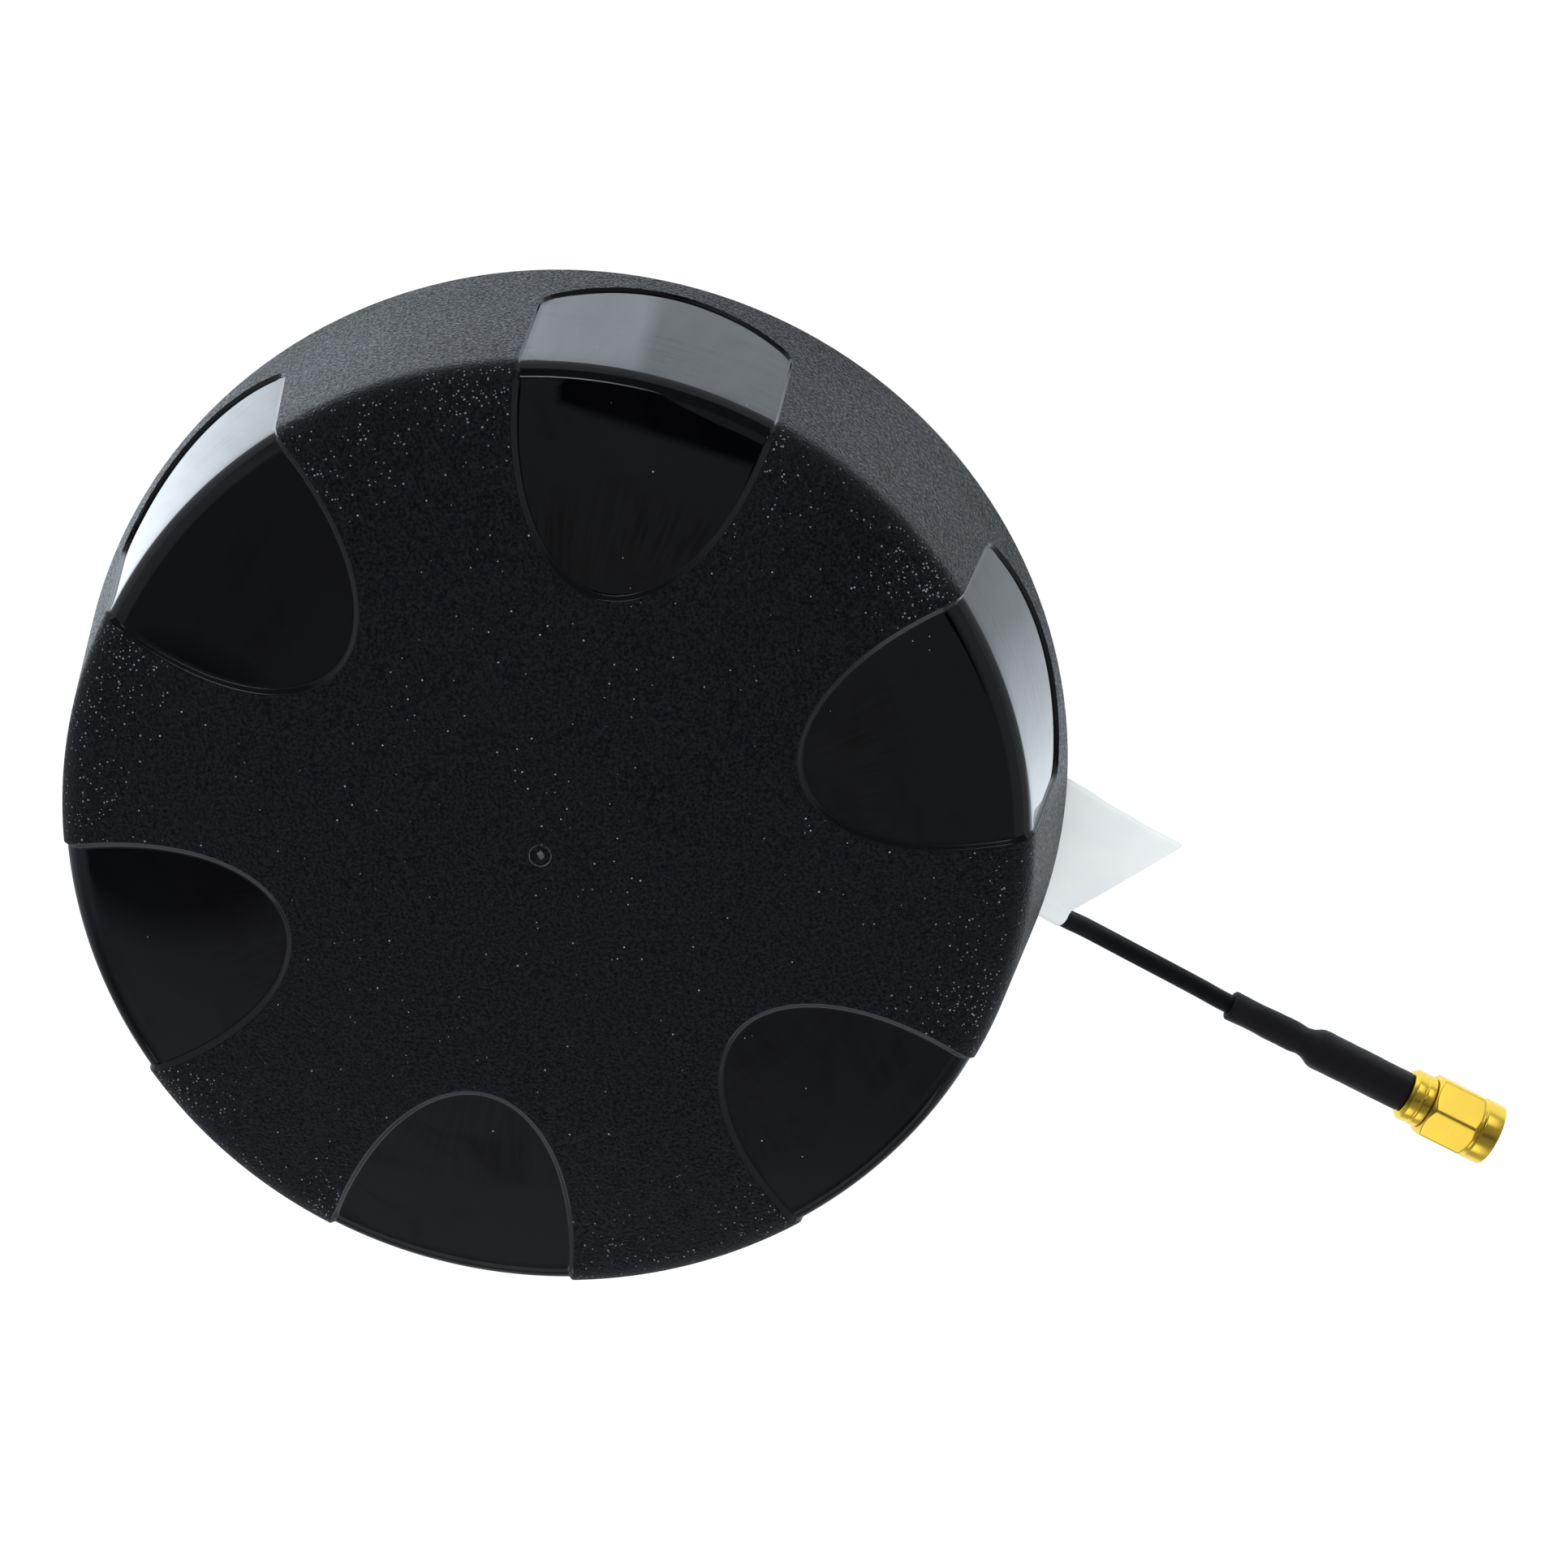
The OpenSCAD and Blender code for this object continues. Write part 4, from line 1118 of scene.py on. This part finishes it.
def floor_level(kit):
    """How bright the gloss sees the floor: a lit sheet before the object and round the plug, brighter
    where the windows' feet mirror it, and dim further off."""
    dim = 0.26
    across = kit.toward(ACROSS)
    near = kit.span(across, 1.02, 1.44, -0.003, 0.0005)
    level = kit.plus(near, kit.span(across, 0.0, 0.44, 0.005, 0.07))
    streaks = kit.noise(30.0, 4.0, 0.6, kit.stretched((1.0, 2.5, 1.0)))
    x, y, _ = kit.split(kit.where)
    lift = kit.times(kit.span(y, 1, 0, -0.062, -0.055), kit.span(x, 1, 0, 0.010, 0.025),
                     kit.span(x, 0, 1, -0.055, -0.043), kit.span(x, 0.62, -0.34, -0.033, -0.004))
    level = kit.times(level, kit.span(streaks, 0.88, 1.12, 0.3, 0.7), kit.plus(1.0, lift))
    sheet = kit.times(kit.span(kit.vector("LENGTH", kit.where), 1, 0, 0.100, 0.103),
                      kit.span(CAMERA_SIDE, 0, 1, -0.020, -0.008))
    from_plug = kit.vector("LENGTH", kit.vector("ADD", kit.where, (0.088, 0.096, 0.0)))
    sheet = kit.math("MAXIMUM", sheet, kit.span(from_plug, 1, 0, 0.035, 0.05))
    return kit.plus(dim, kit.times(sheet, kit.minus(level, dim)))


def floor_material():
    """White, with a soft shadow of the object, and seen through from below."""
    made = bpy.data.materials.new("floor_white")
    kit = Graph(made, "Object")
    kit.tree.nodes.remove(kit.tree.nodes["Principled BSDF"])
    glossy = seen_directly(kit, "Glossy")
    shown_level = 1.12
    level = kit.plus(kit.times(glossy, kit.minus(floor_level(kit), shown_level)), shown_level)
    tint = kit.mix(glossy, (1.0, 1.0, 1.0), (0.99, 1.09, 1.19))
    glow = kit.add("Emission", {"Color": tint, "Strength": level})
    matte = kit.add("BsdfDiffuse", {"Color": (0.8, 0.8, 0.8, 1)})
    direct = seen_directly(kit, "Camera", "Glossy", "Transmission")
    above = kit.blend(kit.times(direct, 0.84), matte, glow)
    back = kit.add("NewGeometry").outputs["Backfacing"]
    sided = kit.blend(back, above, kit.add("BsdfTransparent"))
    kit.feed(kit.tree.nodes["Material Output"], {"Surface": sided.outputs[0]})
    return made


def make_floor():
    """The ground the object lies on, with one side."""
    mesh = bpy.data.meshes.new("floor")
    far = 6.0
    mesh.from_pydata([(-far, -far, 0), (far, -far, 0), (far, far, 0), (-far, far, 0)], [], [(0, 1, 2, 3)])
    mesh.materials.append(floor_material())
    add_object("floor", mesh)


def studio(kit):
    """What the gloss sees above the floor: a white horizon, dim walls, a dark ceiling with a black panel
    over the camera's side, and one thin strip light under it."""
    height = kit.split(kit.where)[2]
    camera_side = kit.toward(CAMERA_SIDE)
    wall = kit.math("MINIMUM", kit.span(camera_side, 0.55, 0.34, -0.8, -0.1),
                    kit.span(camera_side, 0.34, 0.09, 0.35, 0.65))
    roof = kit.span((-0.829, 0.559, 0.0), 0.19, 0.31, 0.45, 0.62)
    # two dim round patches: their way, how dim, and where the edge starts and ends
    patches = (((-0.16, 0.48, 0.863), 0.25, 0.990, 0.995), ((0.12, 0.46, 0.88), 0.66, 0.95, 0.98))
    for way, dark, start, end in patches:
        roof = kit.times(roof, kit.span(way, 1.0, dark, start, end))
    share = kit.span(height, 0, 1, 0.7, 0.8)
    upper = kit.plus(kit.times(roof, share), kit.times(wall, kit.minus(1.0, share)))
    # the panel: a wide part and a thin one higher up, both between two straight edges
    inside = kit.span((0.825, -0.565, 0.0), 0, 1, 0.010, 0.018)
    ended = kit.span((0.319, 0.943, -0.094), 1, 0, -0.003, 0.007)
    wide = kit.times(kit.span((0.454, 0.891, 0.053), 0, 1, -0.015, 0.0),
                     kit.span(height, 0, 1, 0.66, 0.7))
    thin = kit.times(kit.span(height, 0, 1, 0.84, 0.88), kit.span(camera_side, 1, 0, 0.12, 0.2))
    panel = kit.times(inside, ended, kit.math("MAXIMUM", wide, thin))
    upper = kit.times(upper, kit.minus(1.0, panel))
    along_strip = kit.toward((0.309, 0.951, 0.0))
    strip = kit.times(kit.span(height, 0, 1, 0.58, 0.6), kit.span(height, 1, 0, 0.64, 0.66),
                      kit.span(along_strip, 0.0, 4.5, -0.17, -0.04),
                      kit.span(along_strip, 1, 0, 0.27, 0.33),
                      kit.span(camera_side, 0, 1, 0.4, 0.5))
    return kit.plus(kit.span(height, 0.4, 0.0, 0.0, 0.06), kit.plus(upper, strip))


def make_world():
    """White to the camera, the studio to the gloss, and an even fill light for everything else."""
    world = bpy.data.worlds.new("studio")
    bpy.context.scene.world = world
    kit = Graph(world, "Generated")
    gloss = kit.tree.nodes["Background"]
    kit.feed(gloss, {"Color": (0.92, 0.96, 1.06, 1), "Strength": studio(kit)})
    fill = kit.add("Background", {"Color": (0.97, 0.985, 1.0, 1), "Strength": 0.9})
    white = kit.add("Background", {"Color": (1, 1, 1, 1)})
    lit = kit.blend(seen_directly(kit, "Glossy"), fill, gloss)
    shown = kit.blend(seen_directly(kit, "Camera", "Transmission"), lit, white)
    kit.feed(kit.tree.nodes["World Output"], {"Surface": shown.outputs[0]})


def make_lamp(name, azimuth, elevation, distance, size, power, aim=CAMERA_AIM, height=None):
    """A soft lamp that looks at its aim, square if no height is given; degrees and metres."""
    data = bpy.data.lights.new(name, "AREA")
    data.shape = "RECTANGLE"
    data.size = size
    data.size_y = height or size
    data.energy = power
    lamp = add_object(name, data)
    a, e = radians(azimuth), radians(elevation)
    way = Vector((cos(e) * cos(a), cos(e) * sin(a), sin(e)))
    lamp.location = mm(aim) + way * distance
    lamp.rotation_euler = way.to_track_quat("Z", "Y").to_euler()
    lamp.visible_camera = False
    return lamp


def shine_on(lamp, pieces):
    """Let a lamp light these pieces alone."""
    group = bpy.data.collections.new(lamp.name + "_receivers")
    for piece in pieces:
        group.objects.link(piece)
    lamp.light_linking.receiver_collection = group


def make_lamps(gold_pieces):
    """Two soft lamps that the gloss doesn't mirror, two cards of light for the gold alone, and one
    low card for the steps round the radome's windows."""
    for lamp in (make_lamp("key_lamp", 10, 55, 1.6, 1.0, 12), make_lamp("back_lamp", 190, 50, 1.8, 1.2, 6)):
        lamp.visible_glossy = False
    near = Vector(ROUTE[-1]) / MM
    for name, azimuth, elevation, power in (("gold_key", 310, 22, 0.36), ("gold_fill", 142, 38, 0.29)):
        shine_on(make_lamp(name, azimuth, elevation, 0.5, 0.28, power, near), gold_pieces)
    shine_on(make_lamp("low_card", 158, 13, 0.5, 0.9, 0.47, (0, 0, 55), 0.16), [radome])


# ------------ the scene
camera = make_camera()
materials = make_materials()
dress_nodes()

cable, cable_line = make_cable()
label = make_label()
sleeve = make_sleeve()
plug_at = along(Vector(ROUTE[-1]) / MM, Vector(ROUTE[-1]) - Vector(ROUTE[SLEEVE_FIRST]))
plug = make_plug_body(plug_at)
nut = make_nut(plug_at)
for piece, slot in ((cable, "jacket"), (label, "label"), (sleeve, "sleeve"), (plug, "gold"), (nut, "gold")):
    dress(piece, slot)
on_cable = [label, sleeve, plug, nut]
on_cable += [NODES[n] for n in ("crimp_ferrule", "plug_insulator", "plug_pin", "plug_ring", "plug_gasket")]

radome = make_radome()
dress(radome, "radome", "radome", "polish", "ledge", "scuff")
bpy.context.view_layer.update()
radome_tree = BVHTree.FromObject(radome, bpy.context.evaluated_depsgraph_get())
pip = make_gate_pip(radome_tree)
dress(pip, "radome", "scuff")
dress(make_boss(), "boss")
dress(make_insert(), "insert")

make_floor()
make_world()
make_lamps([plug, nut, NODES["crimp_ferrule"], NODES["plug_ring"]])

bpy.context.scene.view_settings.view_transform = "Standard"


# The cable leaves the label's shadow this far past its last point
SHOWN_STEP = 0.7


def write_points():
    """The point where the cable leaves the label's shadow, just past the label's last point; nothing further
    is done with it.
    """
    leaving = Vector(ROUTE[LABEL_LAST])
    leaving += (Vector(ROUTE[LABEL_LAST + 1]) - leaving).normalized() * SHOWN_STEP * MM


write_points()
